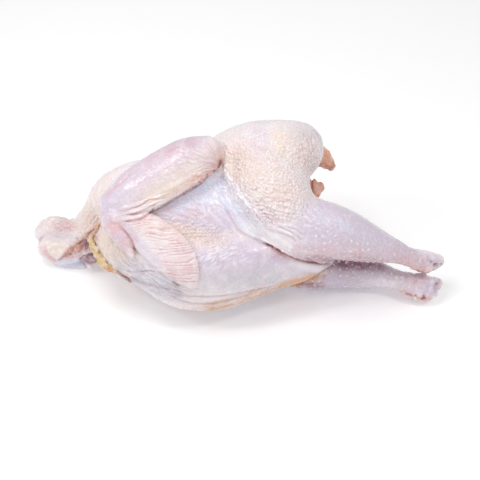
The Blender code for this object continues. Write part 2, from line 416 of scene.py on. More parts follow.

# The flank fold's edge and the line where the thigh lies on it, the knee, the keel and the crop,
# then the nape, the slit by the fat rim and the folds of the neck.
# In each crease, the dark red and the flush are painted shade in and round the groove.
BODY_CREASES = (
    Crease(
        (
            (-18, 40), (-11, 25), (-2, 9), (13.5, 0), (29, -5.5),
            (42, -12.5), (52, -17), (72, -21), (84, -21),
        ),
        width=1.1, depth=1.5, lip=1.5, raw=0.1, fade=(0.5, 0.1),
    ),
    Crease(
        ((-17, 37), (-11, 25), (-5, 14.5), (-1, 8.5), (6, 4)),
        width=0.9, depth=0.9, lip=0.7, raw=0.15, fade=(0.3, 0.3),
    ),
    Crease(
        (
            (-13.5, 63), (-7, 48.5), (0, 37), (7, 29), (16, 20),
            (23.5, 11), (31.5, 6.5), (39, 2.5), (44, -2),
        ),
        width=1.1, depth=0.7, lip=1.4, flush=0.15, fade=(0.35, 0.35),
    ),
    Crease(((29, 10), (38.5, 5.5), (47, 2), (52, -2.5)), width=1.1, depth=0.9, lip=0.8),
    Crease(((32.5, 12.5), (43, 8), (51, 3.5), (57, -1)), width=1.1, depth=0.9, lip=0.8),
    Crease(((39, 12.5), (49.5, 9), (57, 3.5)), width=1.0, depth=0.8, lip=0.6),
    Crease(((27, 41.5), (36, 38), (45, 35), (54, 30.5)), width=0.9, depth=0.4, flush=0.3),
    Crease(
        ((-76.5, -38.5), (-58.5, -48.5), (-40.5, -51), (-18, -50.5), (9, -46), (36, -40.5)),
        width=0.9, depth=0.6, lip=0.3, raw=0.2,
    ),
    Crease(
        ((-67.5, -47.5), (-49.5, -56), (-31.5, -57.5), (-4.5, -53), (20, -47)),
        width=0.9, depth=0.6, raw=0.2,
    ),
    Crease(
        ((-119, -20), (-110, -24.5), (-101, -28), (-90, -28.5), (-79, -28), (-70, -30), (-60, -38)),
        width=1.1, depth=0.9, lip=0.7, raw=0.1, flush=0.1, fade=(0.3, 0.4),
    ),
    Crease(
        ((-62, -36.5), (-57.5, -39.8), (-53.5, -42)),
        width=0.8, depth=0.7, raw=0.8, fade=(0.3, 0.3),
    ),
    Crease(
        ((-101.5, -32.5), (-90, -38), (-76.5, -42.5), (-63, -45), (-49.5, -47.5)),
        width=1.0, depth=0.7, raw=0.2,
    ),
    Crease(
        ((-129.5, 23.5), (-134, 16), (-140.5, 8)),
        width=0.8, depth=0.6, lip=0.4, flush=0.25, on="through",
    ),
    Crease(
        ((-126.5, 20), (-131.5, 12.5), (-137.5, 4.5)),
        width=0.8, depth=0.6, lip=0.4, flush=0.25, on="through",
    ),
    Crease(
        ((-133, 27), (-137.5, 19), (-143, 11)),
        width=0.8, depth=0.5, lip=0.4, flush=0.2, on="through",
    ),
    Crease(((-112.5, -26), (-106, -31), (-98, -37)), width=1.0, depth=0.8, raw=0.4),
    Crease(
        ((-160.2, -14.4), (-149.4, -6.3), (-138.6, 2.7), (-126.9, 13.5)),
        width=1.0, depth=1.0, lip=0.9, raw=0.2, on="facing",
    ),
    Crease(
        ((-182, -3), (-173.7, 4.5), (-162, 7.2), (-150, 7.2)),
        width=1.4, depth=0.4, flush=0.1, fade=(0.05, 0.6), on="through",
    ),
    Crease(
        ((-182, -3), (-178, 1.5), (-173.7, 4.5)),
        width=1.0, depth=0.7, raw=0.2, fade=(0.05, 0.6), on="through",
    ),
    Crease(((-177, -4), (-172, -14), (-162.5, -20.5)), width=1.1, depth=0.8, flush=0.5, on="facing"),
    Crease(
        ((-165, -19.8), (-158.4, -15.3), (-151.2, -12.6), (-142, -14.4)),
        width=1.2, depth=1.0, lip=0.4, raw=0.25, flush=0.4, on="facing",
    ),
    Crease(((-140, -13), (-139, -19.8), (-138.5, -27)), width=0.9, depth=0.7, flush=0.5, on="facing"),
)
# Back, hip, thigh and flank, then breast, keel and crop, shoulder, nape and neck, and last the
# drumsticks and hocks.
# Their flush is painted shade in the valleys, and their pale a painted highlight on the ridges.
BODY_FOLDS = (
    Wrinkles((-60, 76), (70, 30), angle=-8, spacing=7.0, run=36, height=0.8, flush=0.1),
    Wrinkles((25, 58), (42, 36), angle=-18, spacing=4.0, run=10, height=0.5, flush=0.2),
    Wrinkles((30, 31), (30, 20), angle=-14, spacing=3.2, run=14, height=1.0, flush=0.4),
    Wrinkles((-6, 62), (13, 38), angle=-66, spacing=3.2, run=26, height=0.7, turn=-20),
    Wrinkles((63, 82), (11, 26), angle=-70, spacing=2.6, run=22, height=0.95, flush=0.25),
    Wrinkles((6, 32), (13, 32), angle=-56, spacing=2.8, run=40, height=0.8, turn=35, flush=0.0),
    Wrinkles(
        (-22, 38), (21, 24), angle=-50, spacing=2.7, run=34, height=0.55, turn=-40, flush=0.1, pale=0.5,
    ),
    Wrinkles((-48, 26), (30, 14), angle=-12, spacing=2.8, run=12, height=0.7, flush=0.3),
    Wrinkles((-18, -14), (28, 13), angle=30, spacing=2.6, run=9, height=0.6, flush=0.0, pale=0.5),
    Wrinkles((-55, -46), (34, 12), angle=-18, spacing=2.6, run=50, height=0.6, turn=-18),
    Wrinkles((8, -50), (48, 11), angle=14, spacing=2.6, run=60, height=0.6, turn=14),
    Wrinkles((-112, -10), (17, 20), angle=-48, spacing=2.8, run=12, height=1.0, flush=0.2, pale=0.2),
    Wrinkles(
        (-88, -32), (30, 15), angle=-24, spacing=3.6, run=30, height=0.9, turn=-24, flush=0.1, pale=0.2,
    ),
    Wrinkles(
        (-84, -38), (22, 10), angle=20, spacing=5.0, run=14, height=0.4, turn=-24, flush=0.0, pale=0.2,
    ),
    Wrinkles((-128, 40), (16, 34), angle=56, spacing=5.0, run=40, height=0.35, turn=-25),
    Wrinkles((-134, 16), (13, 18), angle=55, spacing=2.8, run=20, height=0.8, on="through"),
    Wrinkles((-166, 14), (20, 10), angle=20, spacing=2.6, run=10, height=0.7, flush=0.25, on="through"),
    Wrinkles(
        (66, 22), (20, 16), angle=-36, spacing=2.4, run=5, height=0.5, turn=-24, flush=0.0, pale=0.25,
    ),
    Wrinkles(
        (110, 0), (50, 20), angle=-40, spacing=2.8, run=6, height=0.35, turn=-24, flush=0.15, pale=0.15,
    ),
    Wrinkles((100, 0), (50, 18), angle=-24, spacing=5.0, run=30, height=0.2, turn=-24, flush=0.1),
    Wrinkles((146, -10), (12, 12), angle=76, spacing=2.4, run=12, height=0.4),
)
# Back, breast, hip, thigh and flank, then nape, neck and crop, and last the hocks.
# Their flush is painted shade on the lines between the bumps.
BODY_PEBBLES = (
    Pebbles((-66, 70), (72, 36), size=3.1, height=0.5, flush=0.2),
    Pebbles((-60, -20), (60, 40), size=3.4, height=0.3, flush=0.1),
    Pebbles((27, 62), (50, 46), size=2.8, height=0.9, angle=-20, stretch=1.25, flush=0.25),
    Pebbles((34, 28), (30, 16), size=2.8, height=0.9, angle=-18, stretch=1.4, flush=0.3),
    Pebbles((-40, 6), (33, 13), size=2.9, height=1.05, turn=-8, flush=0.35),
    Pebbles((-134, 20), (16, 14), size=2.6, height=0.4, flush=0.2, on="through"),
    Pebbles((-158, 13), (12, 7), size=2.7, height=0.9, flush=1.0, on="through"),
    Pebbles((-172, 14), (12, 9), size=3.2, height=0.5, flush=0.3, on="through"),
    Pebbles((-146, -8), (13, 5), size=3.0, height=1.0, turn=35, flush=0.0, on="through"),
    Pebbles((-112, -4), (17, 20), size=2.4, height=0.35, flush=0.2),
    Pebbles((160, -22), (22, 24), size=2.8, height=0.5, flush=0.3),
)
# Both lobes of the neck and the bare flesh between them and the crop, then the hocks.
BODY_LUMPS = (
    Lumps((-166, 15), (22, 12), size=5.5, height=1.0, on="through"),
    Lumps((-156, 12), (10, 7), size=2.8, height=1.6, on="through"),
    Lumps((-166, -8), (16, 12), size=5.0, height=0.8, on="through"),
    Lumps((-144, -5), (16, 9), size=2.9, height=2.4, turn=35, on="through"),
    Lumps((172, -18), (16, 14), size=6.5, height=1.5),
    Lumps((175, -45), (14, 18), size=5.5, height=1.6, on="facing"),
    Lumps((170, -18), (20, 16), size=2.6, height=0.4),
)
# In the ends of the bones, where the feet were cut off.
BODY_PITS = (
    Pit((177, -22.6), 1.7, 1.8),
    Pit((172.5, -19.5), 1.2, 0.8),
    Pit((181.5, -21.8), 1.1, 0.8),
    Pit((174, -27.5), 1.0, 0.8),
    Pit((178, -39), 1.9, 1.6),
    Pit((179.5, -36), 1.1, 0.8),
    Pit((165.6, -51.5), 1.4, 1.2),
    Pit((158, -50), 1.2, 0.8),
)
# The thumb's edge, two lines at the shoulder, the folds at the wrist and those at the elbow.
# In each crease, the dark red and the flush are painted shade in and round the groove.
WING_CREASES = (
    Crease(
        ((-111, 15.5), (-105, 9), (-100.5, 3.5), (-97, -2.5), (-94.5, -9)),
        width=0.9, depth=0.8, lip=0.4, raw=0.35, flush=0.3, fade=(0.4, 0.05),
    ),
    Crease(
        ((-122.5, 38.5), (-112.5, 47.5), (-102.5, 56.5), (-98, 63)),
        width=0.8, depth=0.4, flush=0.35,
    ),
    Crease(((-116, 44), (-106, 54), (-99, 60)), width=0.8, depth=0.3, flush=0.2),
    Crease(
        ((-114.5, 23.5), (-101, 27), (-88, 31.5), (-81, 36), (-72, 37), (-62, 38.5)),
        width=0.8, depth=0.7, lip=0.5, raw=0.1, flush=0.3, fade=(0.3, 0.4),
    ),
    Crease(
        ((-110, 18), (-101, 17), (-92, 18), (-83.5, 22.5), (-76.5, 29)),
        width=0.9, depth=1.1, lip=0.7, raw=0.3, flush=0.3, fade=(0.3, 0.1),
    ),
    Crease(
        ((-103.5, 21.5), (-92, 25), (-81, 29.5), (-74, 32.5)),
        width=0.8, depth=0.6, lip=0.5, raw=0.08, flush=0.3,
    ),
    Crease(((-100, 23), (-90, 24), (-80, 27)), width=0.9, depth=0.6, lip=0.4, flush=0.3),
    Crease(((-33, 53), (-30, 56.5), (-28.5, 60)), width=0.9, depth=0.9, raw=0.5, flush=0.3),
    Crease(((-27.5, 55.5), (-24.5, 58.5), (-22.5, 63)), width=0.9, depth=1.0, raw=0.6, flush=0.4),
    Crease(((-23, 57.5), (-20, 61), (-18.5, 66)), width=0.9, depth=1.0, raw=0.8, flush=0.4),
    Crease(((-19, 60), (-16.8, 65), (-17, 72)), width=0.9, depth=1.0, raw=0.9, flush=0.4),
)
# Upper arm and forearm, the shoulder's front and the thumb, the hand from wrist to tip, and last
# the rough edge under the forearm.
# Their flush is painted shade in the valleys, and their pale a painted highlight on the ridges.
WING_FOLDS = (
    Wrinkles((-66, 66), (44, 22), angle=22, spacing=2.6, run=12, height=0.15, turn=26, flush=0.05),
    Wrinkles(
        (-62, 60), (44, 18), angle=-34, spacing=2.4, run=5, height=0.2, turn=26, flush=0.04, pale=0.3,
    ),
    Wrinkles((-92, 26), (26, 12), angle=16, spacing=3.0, run=22, height=0.7, turn=16, flush=0.2),
    Wrinkles((-72, 42), (26, 7), angle=24, spacing=2.8, run=26, height=0.5, turn=26, flush=0.3),
    Wrinkles((-40, 56), (22, 7), angle=24, spacing=2.8, run=20, height=0.2, turn=26, flush=0.2),
    Wrinkles((-120, 18), (9, 22), angle=82, spacing=3.4, run=16, height=0.5),
    Wrinkles((-108, -2), (13, 16), angle=-46, spacing=2.4, run=22, height=0.5, turn=-45),
    Wrinkles(
        (-80, 13), (24, 12), angle=6, spacing=2.9, run=26, height=0.9, turn=-15, even=True, flush=0.5,
    ),
    Wrinkles(
        (-66, 0), (22, 17), angle=2, spacing=2.9, run=26, height=1.15, turn=-35, even=True, flush=0.55,
    ),
    Wrinkles((-54, -15), (20, 18), angle=-2, spacing=2.9, run=24, height=1.35, even=True, flush=0.8),
    Wrinkles((-52, -33), (18, 14), angle=-6, spacing=2.8, run=22, height=1.15, even=True, flush=0.8),
    Wrinkles(
        (-42, 48.5), (38, 3.4), angle=-56, spacing=2.9, run=8, height=0.9,
        turn=30, even=True, flush=0.4,
    ),
)
# Both run round the elbow.
# Their flush is painted shade in the valleys.
WING_FANS = (
    Fan((-12, 66), (-32, 74), (18, 18), spacing=2.2, run=20, height=0.7, turn=10, flush=0.2),
    Fan((-12, 68), (-32, 58), (16, 9), spacing=2.6, run=16, height=0.8, turn=30, flush=0.3),
)

# The colours of the pieces. Where patches or streaks of a mask overlap, their amounts add up.
BODY_TINTS = (
    Tint("cream", (-130, 36), (16, 26), 0.4),
    Tint("cream", (-136, 14), (12, 14), 0.9, on="through"),
    Tint("cream", (-8, 75), (16, 22), 0.4),
    Tint("cream", (10, 62), (26, 22), 0.4),
    Tint("cream", (42, 90), (16, 12), 0.9),
    Tint("cream", (44, 32), (20, 14), 0.9),
    Tint("pale", (46, 28), (16, 14), 0.35),
    Tint("cream", (-42, 5), (32, 12), 1.4, turn=-8),
    Tint("tan", (-42, 5), (28, 9), 0.16, turn=-8),
    Tint("cream", (24, 54), (44, 32), 0.3),
    Tint("pale", (22, 33), (15, 12), 0.2),
    # Painted light that lifts the shaded groove at the flank fold's upper end.
    Tint("pale", (1, 32), (6, 22), 0.4, turn=35),
    Tint("cream", (20, 6), (18, 4), 0.4, turn=-28),
    Tint("cream", (-112, -8), (18, 22), 1.3),
    Tint("cream", (-166, -9), (13, 9), 0.7, on="facing"),
    Tint("lilac", (18, 90), (9, 18), 0.4),
    Tint("lilac", (-45, 28), (32, 16), 1.0),
    Tint("lilac", (-20, 20), (20, 14), 1.3),
    Tint("blue", (-22, 42), (20, 14), 0.9, turn=-40),
    Tint("blue", (-42, 36), (24, 10), 0.6, turn=24),
    Tint("blue", (0, 30), (9, 32), 1.2, turn=35),
    Tint("lilac", (0, -18), (62, 22), 0.9),
    Tint("lilac", (108, -2), (62, 34), 1.35, turn=-24, edge=7.0),
    # Painted shade along the lower side of the left drumstick.
    Tint("mauve", (92, -17), (56, 5), 0.35, turn=-2, on="facing"),
    Tint("lilac", (26, 20), (14, 8), 0.5),
    # A painted sheen on the flank band above the fold's crease.
    Tint("pale", (22, 6), (24, 5), 0.8, turn=-28),
    Tint("lilac", (-166, 3.6), (14, 4), 0.5, on="facing"),
    Tint("blue", (-152, -20), (15, 6), 1.2, on="facing"),
    Tint("grey", (-88, -34), (28, 13), 0.9, turn=-24),
    Tint("blue", (-80, -36), (24, 10), 0.3, turn=-24),
    Tint("grey", (-66, -46), (20, 9), 0.7, turn=-20),
    Tint("grey", (10, -36), (60, 12), 0.6),
    Tint("grey", (60, 94), (18, 14), 0.5),
    Tint("tan", (60, 78), (12, 16), 0.2),
    Tint("flush", (90, -15), (54, 10), 0.65, turn=-5, on="facing", edge=2.0),
    Tint("blue", (92, 14), (34, 6), 0.35, turn=-26),
    Tint("lilac", (96, 6), (44, 16), 0.5, turn=-24),
    Tint("flush", (-156, 12), (9, 6), 0.4, on="through"),
    Tint("cream", (-166, 14), (20, 9), 0.5, on="through"),
    Tint("flush", (164, -20), (16, 8), 0.4),
    Tint("lilac", (173, -19), (8, 6), 1.0, on="facing"),
    Tint("lilac", (170, -43), (8, 9), 1.0, on="facing"),
    Tint("mauve", (179, -24), (6, 6), 0.25, on="facing"),
    Tint("mauve", (178, -42), (5, 9), 0.3, on="facing"),
    Tint("flush", (-42, 24), (8, 5), 0.4),
    Tint("tan", (-20, -64), (56, 6), 0.32),
    Tint("grey", (-14, -60), (44, 5), 0.3, turn=8),
    Tint("tan", (56, -36), (26, 4.5), 0.7, turn=16, on="facing"),
    Tint("lilac", (110, -36), (54, 16), 1.2, on="facing"),
    # Painted shade on the right drumstick, darkest in a band just under the left one, and pale
    # patches that lighten its shaded side again.
    Tint("mauve", (88, -36), (24, 13), 0.25, on="facing"),
    Tint("pale", (66, -25), (18, 4), 0.6, turn=-12, on="facing"),
    Tint("pale", (112, -37), (34, 9), 0.2, on="facing"),
    Tint("mauve", (104, -23), (32, 5), 0.8, turn=-4, on="facing"),
    Tint("raw", (102, -21), (28, 2.2), 0.3, turn=-3, on="facing"),
    Tint("pale", (140, -38), (18, 8), 0.5, on="facing"),
    Tint("flesh", (-143, -6), (16, 6), 1.0, turn=40, on="facing"),
    Tint("mauve", (-136, -4), (7, 7), 0.5, on="facing"),
    Tint("tan", (-146, -1.5), (18, 1.8), 0.7, turn=42, on="facing"),
    Tint("flesh", (-153, -13), (8, 2.4), 0.8, turn=16, on="facing"),
    Tint("pale", (-148, -13), (8, 2.0), 0.6, turn=8, on="facing"),
)
BODY_STREAKS = (
    Streak("flush", ((26, -4), (36, -10), (44, -14), (54, -18.5)), width=2.2, amount=1.0),
    Streak(
        "tan",
        ((-36, -65), (0, -56), (22, -48), (40, -40), (54, -37.5), (68, -33), (78, -26), (84, -22)),
        width=2.0, amount=0.8, on="facing",
    ),
    Streak("tan", ((-36, -60), (0, -51), (22, -43)), width=1.6, amount=0.6, on="facing"),
    # The dark red lines of the flank fold's crease: partly its real colour, partly painted shade.
    Streak("raw", ((22, -4.5), (30, -8), (38, -12.5), (46, -16.5)), width=2.0, amount=0.4),
    Streak(
        "raw", ((19, -2), (29, -5.5), (42, -12.5), (52, -17), (72, -21), (84, -21)),
        width=1.1, amount=0.9,
    ),
    # Painted light along the upper end of the flank fold's crease.
    Streak("pale", ((-11, 25), (-2, 9.5), (13.5, 0.5)), width=2.0, amount=0.5),
    Streak("raw", ((-112.5, -27.5), (-106, -32.5), (-97, -38.5)), width=1.1, amount=0.8, on="facing"),
    Streak("tan", ((-138.6, 0.9), (-133.2, 7.2), (-125, 15)), width=1.6, amount=1.0, on="facing"),
    Streak("flush", ((-180, -5), (-175, -14), (-166, -21)), width=2.0, amount=0.6, on="facing"),
    Streak("tan", ((-119, 4), (-110, -4), (-102, -11)), width=0.8, amount=0.6),
    Streak(
        "flush", ((138, -20), (151, -23), (162, -27), (172, -28)),
        width=3.0, amount=1.0, on="facing",
    ),
    Streak("raw", ((157, -26), (163, -28.6), (173, -29.6)), width=0.9, amount=0.8, on="facing"),
    Streak(
        "flush", ((140, -44.5), (148, -47), (158, -52.5), (168, -54), (174, -50)),
        width=3.0, amount=1.0, on="facing",
    ),
    Streak(
        "raw", ((148, -47.5), (156, -50.5), (163, -52.5), (169, -53)),
        width=0.9, amount=0.7, on="facing",
    ),
    # A painted highlight on the lip of the thigh's web, and a painted sheen on the flank below.
    Streak("pale", ((-16, 66), (-4, 45), (3, 36), (9, 28), (16, 18), (24, 11)), width=1.5, amount=0.9),
    Streak("pale", ((22, 7), (34, 2), (48, -8)), width=1.8, amount=0.6),
)
# Where follicles and quill bumps stand: all over back, hip, thigh, flank and nape, and on the
# drumsticks.
BODY_HAIRS = (
    Tint("follicles", (-66, 76), (66, 26), 0.7),
    Tint("follicles", (27, 62), (46, 46), 1.0),
    Tint("follicles", (34, 28), (28, 14), 0.8),
    Tint("follicles", (-38, 6), (28, 11), 0.9, turn=-8),
    Tint("follicles", (-136, 18), (14, 12), 0.6),
    Tint("quills", (104, -13), (62, 12), 0.75, turn=-15),
    Tint("quills", (84, -14), (50, 7), 0.8, turn=-4),
    Tint("quills", (76, 10), (20, 12), 0.1, turn=-14),
)
WING_TINTS = (
    Tint("lilac", (-56, 84), (30, 11), 0.5, turn=26),
    Tint("lilac", (-74, 70), (46, 18), 0.7, turn=26),
    Tint("lilac", (-106, 36), (20, 22), 0.6),
    Tint("lilac", (-108, 2), (13, 16), 0.7),
    Tint("cream", (-70, 10), (22, 12), 0.5, turn=-20),
    Tint("flush", (-72, 70), (44, 16), 0.28, turn=26),
    Tint("flush", (-58, 82), (22, 7), 0.3, turn=26),
    Tint("mauve", (-54, 84), (22, 7), 0.12, turn=26),
    Tint("lilac", (-88, 64), (24, 12), 0.4, turn=26),
    Tint("lilac", (-122, 22), (9, 26), 0.5),
    Tint("lilac", (-90, -6), (30, 6), 0.6, turn=-42),
    Tint("cream", (-60, 58), (40, 12), 1.0, turn=26),
    Tint("tan", (-44, 52), (34, 4.5), 0.3, turn=28),
    Tint("tan", (-24, 62), (7, 9), 0.12, turn=40),
    Tint("pale", (-27, 68), (9, 11), 0.3, turn=20),
    Tint("cream", (-88, 34), (24, 8), 0.7, turn=20),
    # Painted light that lifts the shade of the wrist's creases.
    Tint("pale", (-91, 26), (13, 6), 0.3, turn=16),
    Tint("flush", (-22, 68), (9, 20), 0.5),
    Tint("flush", (-34, 56), (22, 6), 0.4, turn=26),
    Tint("flush", (-113, 12), (8, 7), 0.9),
    Tint("flush", (-104, -6), (10, 14), 0.5, turn=-45),
    Tint("flush", (-56, -14), (16, 24), 0.45, turn=30),
    Tint("flush", (-50, -36), (20, 12), 0.55),
    # Painted light on the hand's tip, which lies in shade.
    Tint("pale", (-46, -36), (12, 9), 0.35),
    Tint("flush", (-80, 13), (24, 10), 0.4, turn=-15),
    Tint("tan", (-18, 68), (4, 15), 0.4),
    Tint("flush", (-26, 66), (9, 13), 0.5, turn=30),
)
WING_STREAKS = (
    Streak("tan", ((-97, -5), (-94, -11), (-92, -15)), width=1.4, amount=0.8),
    # The dark red and mauve lines along the forearm's lower edge and round the elbow: partly the
    # edge's own dark colour, partly painted shade in the crevice where the wing lies on the flank.
    Streak(
        "raw",
        ((-82, 22), (-68, 32), (-54, 40.5), (-45, 46), (-36, 51), (-26, 55.5), (-19, 62), (-17, 72)),
        width=0.9, amount=0.5,
    ),
    Streak("raw", ((-30, 53.5), (-25, 57), (-19.5, 62.5), (-17.5, 74)), width=1.6, amount=0.8),
    Streak(
        "mauve", ((-82, 21), (-68, 31), (-54, 39.5), (-45, 45), (-36, 50), (-26, 54.5), (-18, 61)),
        width=1.3, amount=0.8,
    ),
)

# A reach that takes in all of a piece.
EVERYWHERE = (400, 400)
FAT_TINTS = (
    Tint("fat", (-122, -12), (60, 60), 0.9, on="through"),
    Tint("tan", (-128, 11), (7, 9), 0.9, on="through"),
    Tint("flesh", (-131, 8), (5, 6), 0.6, on="through"),
    Tint("tan", (-116, -27), (5, 3.5), 0.9, on="through"),
    Tint("pale", (-130, -6), (2.5, 5), 0.35, on="through"),
    Tint("pale", (-121, -20), (2.5, 4), 0.25, on="through"),
)
TAIL_TINTS = (
    Tint("rust", (0, 60), EVERYWHERE, 0.75, on="through"),
    Tint("tan", (68, 47), (8, 10), 0.6, on="through"),
    Tint("cream", (80, 74), (5, 7), 0.35, on="through"),
    Tint("raw", (84, 66), (4, 6), 0.3, on="through"),
)
NECK_END_TINTS = (
    Tint("mauve", (-133, -14), (60, 60), 0.95, on="through"),
    Tint("flesh", (-133, -14), (60, 60), 0.6, on="through"),
    Tint("lilac", (-130, -16), (8, 10), 0.5, on="through"),
)
VENT_CREASES = (
    Crease(((65, 57), (65.5, 48), (66, 39)), width=0.9, depth=1.3, raw=0.9, on="through"),
)


def smooth_rows(stations, per_mm, fewest):
    """Catmull-Rom through the stations, by distance along the path, read evenly."""
    rows = np.array(stations, float)
    steps = np.linalg.norm(np.diff(rows[:, :3], axis=0), axis=1)
    knots = np.concatenate([[0.0], np.cumsum(steps)])
    slopes = np.gradient(rows, knots, axis=0)
    read = np.linspace(0, knots[-1], max(fewest, round(knots[-1] * per_mm)))
    span = np.clip(np.searchsorted(knots, read, side="right") - 1, 0, len(rows) - 2)
    width = (knots[span + 1] - knots[span])[:, None]
    t = (read - knots[span])[:, None] / width
    return (
        (2 * t**3 - 3 * t**2 + 1) * rows[span]
        + (t**3 - 2 * t**2 + t) * width * slopes[span]
        + (3 * t**2 - 2 * t**3) * rows[span + 1]
        + (t**3 - t**2) * width * slopes[span + 1]
    )


def round_end(end, beyond):
    """Rings that shrink from the end row, along the direction beyond."""
    reach = min(end[3], end[4])
    rings = []
    for angle in np.radians(CAP_ANGLES):
        centre = end[:3] + beyond / np.linalg.norm(beyond) * reach * math.sin(angle)
        rings.append(np.concatenate([centre, end[3:] * math.cos(angle)]))
    return rings


def with_round_ends(rows):
    """The rows of a lobe, with the rings of a round end before and after them."""
    before = round_end(rows[0], rows[0, :3] - rows[1, :3])
    after = round_end(rows[-1], rows[-1, :3] - rows[-2, :3])
    return np.array(before[::-1] + list(rows) + after)


def section_axes(rows, roll):
    """For each ring, the unit directions of its half-height and its half-depth."""
    tangent = np.gradient(rows[:, :3], axis=0)
    tangent /= np.linalg.norm(tangent, axis=1)[:, None]
    near = np.array([0.0, 0.0, 1.0])
    deep = near - (tangent @ near)[:, None] * tangent
    deep /= np.linalg.norm(deep, axis=1)[:, None]
    across = np.cross(deep, tangent)
    turn = math.radians(roll)
    return (
        across * math.cos(turn) - deep * math.sin(turn),
        across * math.sin(turn) + deep * math.cos(turn),
    )


def left_of_bird():
    """The direction of the bird's left side, which is rolled by BODY_ROLL in the side view."""
    turn = math.radians(BODY_ROLL)
    return Vector((0, math.sin(turn), math.cos(turn)))


def ring_points(stations, roll=0.0, keel=0.0, mirrored=False):
    """The rings of a lobe, as an array of ring, side and x, up, near in millimetres."""
    rows = with_round_ends(smooth_rows(stations, RINGS_PER_MM, FEWEST_RINGS))
    across, deep = section_axes(rows, roll)
    angle = np.linspace(0, 2 * math.pi, SIDES, endpoint=False)
    narrow = 1 - keel * np.maximum(0.0, -np.cos(angle)) ** 2
    high = rows[:, None, 3] * np.cos(angle)
    wide = rows[:, None, 4] * np.sin(angle) * narrow
    rings = rows[:, None, :3] + high[:, :, None] * across[:, None] + wide[:, :, None] * deep[:, None]
    if mirrored:
        left = np.array(left_of_bird())
        rings = rings - 2 * (rings @ left)[:, :, None] * left
    return rings


def lobe(name, rings):
    """A closed loft over the rings."""
    bm = bmesh.new()
    rows = [[bm.verts.new(point * MM) for point in ring] for ring in rings]
    for one, two in zip(rows, rows[1:]):
        for k in range(SIDES):
            after = (k + 1) % SIDES
            bm.faces.new((one[k], one[after], two[after], two[k]))
    bm.faces.new(rows[0])
    bm.faces.new(rows[-1])
    bmesh.ops.recalc_face_normals(bm, faces=bm.faces)
    mesh = bpy.data.meshes.new(name)
    bm.to_mesh(mesh)
    bm.free()
    return bpy.data.objects.new(name, mesh)


def body_rings():
    """What the skin is stretched over: trunk, breast, shoulders, legs and root of the neck."""
    return [
        ring_points(TRUNK, roll=BODY_ROLL),
        ring_points(BREAST, roll=BODY_ROLL, keel=KEEL),
        ring_points(HIP_LEFT),
        ring_points(HIP_RIGHT, mirrored=True),
        ring_points(DRUMSTICK_LEFT),
        ring_points(DRUMSTICK_RIGHT),
        ring_points(NECK_UPPER),
        ring_points(NECK_LOWER),
        ring_points(SHOULDER),
        ring_points(SHOULDER, mirrored=True),
        ring_points(WING_BED),
        ring_points(WING_BED, mirrored=True),
        ring_points(THIGH),
        ring_points(THIGH, mirrored=True),
    ]


def wing_rings(mirrored):
    """What one wing's skin is stretched over: upper arm, forearm, thumb and hand."""
    arm = [ring_points(part, mirrored=mirrored) for part in (WING, FOREARM, THUMB)]
    return arm + [ring_points(HAND, roll=HAND_ROLL, mirrored=mirrored)]


def apply_modifiers(obj):
    """Makes what the modifiers show the object's own mesh."""
    graph = bpy.context.evaluated_depsgraph_get()
    applied = bpy.data.meshes.new_from_object(obj.evaluated_get(graph))
    obj.modifiers.clear()
    before = obj.data
    obj.data = applied
    bpy.data.meshes.remove(before)


def join(body, others):
    """One Boolean union of the body with all the others, which are then removed."""
    joining = bpy.data.collections.new("joining")
    bpy.context.scene.collection.children.link(joining)
    for other in others:
        joining.objects.link(other)
    union = body.modifiers.new("join", "BOOLEAN")
    union.operation = "UNION"
    union.operand_type = "COLLECTION"
    union.collection = joining
    union.solver = "MANIFOLD"
    apply_modifiers(body)
    for other in others:
        bpy.data.objects.remove(other)
    bpy.data.collections.remove(joining)


def lobes_joined(name, rings):
    """One closed object from the lobes over each of these sets of rings."""
    made = [lobe(f"{name}_{number}", one) for number, one in enumerate(rings)]
    body = made[0]
    body.name = name
    bpy.context.scene.collection.objects.link(body)
    if made[1:]:
        join(body, made[1:])
    return body


def draw_skin(body, cell):
    """One even skin of square cells over the joined lobes."""
    skin = body.modifiers.new("skin", "REMESH")
    skin.mode = "VOXEL"
    skin.voxel_size = cell * MM
    apply_modifiers(body)


# Rounds of smoothing over the skin's cells, and over those of the bare ends.
SKIN_SMOOTHING = 8
END_SMOOTHING = 5


def settle(body, rounds, group=""):
    """Smooths the skin, or only the group's share of it."""
    smoothing = body.modifiers.new("settle", "SMOOTH")
    smoothing.factor = 0.5
    smoothing.iterations = rounds
    smoothing.vertex_group = group
    apply_modifiers(body)


def read_vectors(items, field):
    """A vector of each item of a mesh, as the rows of an array."""
    values = np.empty(len(items) * 3)
    items.foreach_get(field, values)
    return values.reshape(-1, 3)


def smooth_bridges(body):
    """Smooths where skin bridges two lobes, and leaves the rest."""
    group = body.vertex_groups.new(name="bridges")
    points = read_vectors(body.data.vertices, "co") / MM
    weight = np.zeros(len(points))
    for centre, reach in BRIDGES:
        distance = np.linalg.norm(points - np.array(centre), axis=1) / reach
        inside = np.clip(BRIDGE_EDGE * (1 - distance), 0, 1)
        weight = np.maximum(weight, inside * inside * (3 - 2 * inside))
    for index in np.flatnonzero(weight):
        group.add([int(index)], float(weight[index]), "REPLACE")
    settle(body, BRIDGE_SMOOTHING, group.name)
    body.vertex_groups.clear()


def ease(low, high, value):
    """0 below low, 1 above high and smooth between."""
    t = np.clip((value - low) / (high - low), 0, 1)
    return t * t * (3 - 2 * t)


# What brings the noise to about -1 to 1, and how far a cell's middle strays in its lattice cell.
GRAIN_GAIN = 1.6
STRAY = 0.7


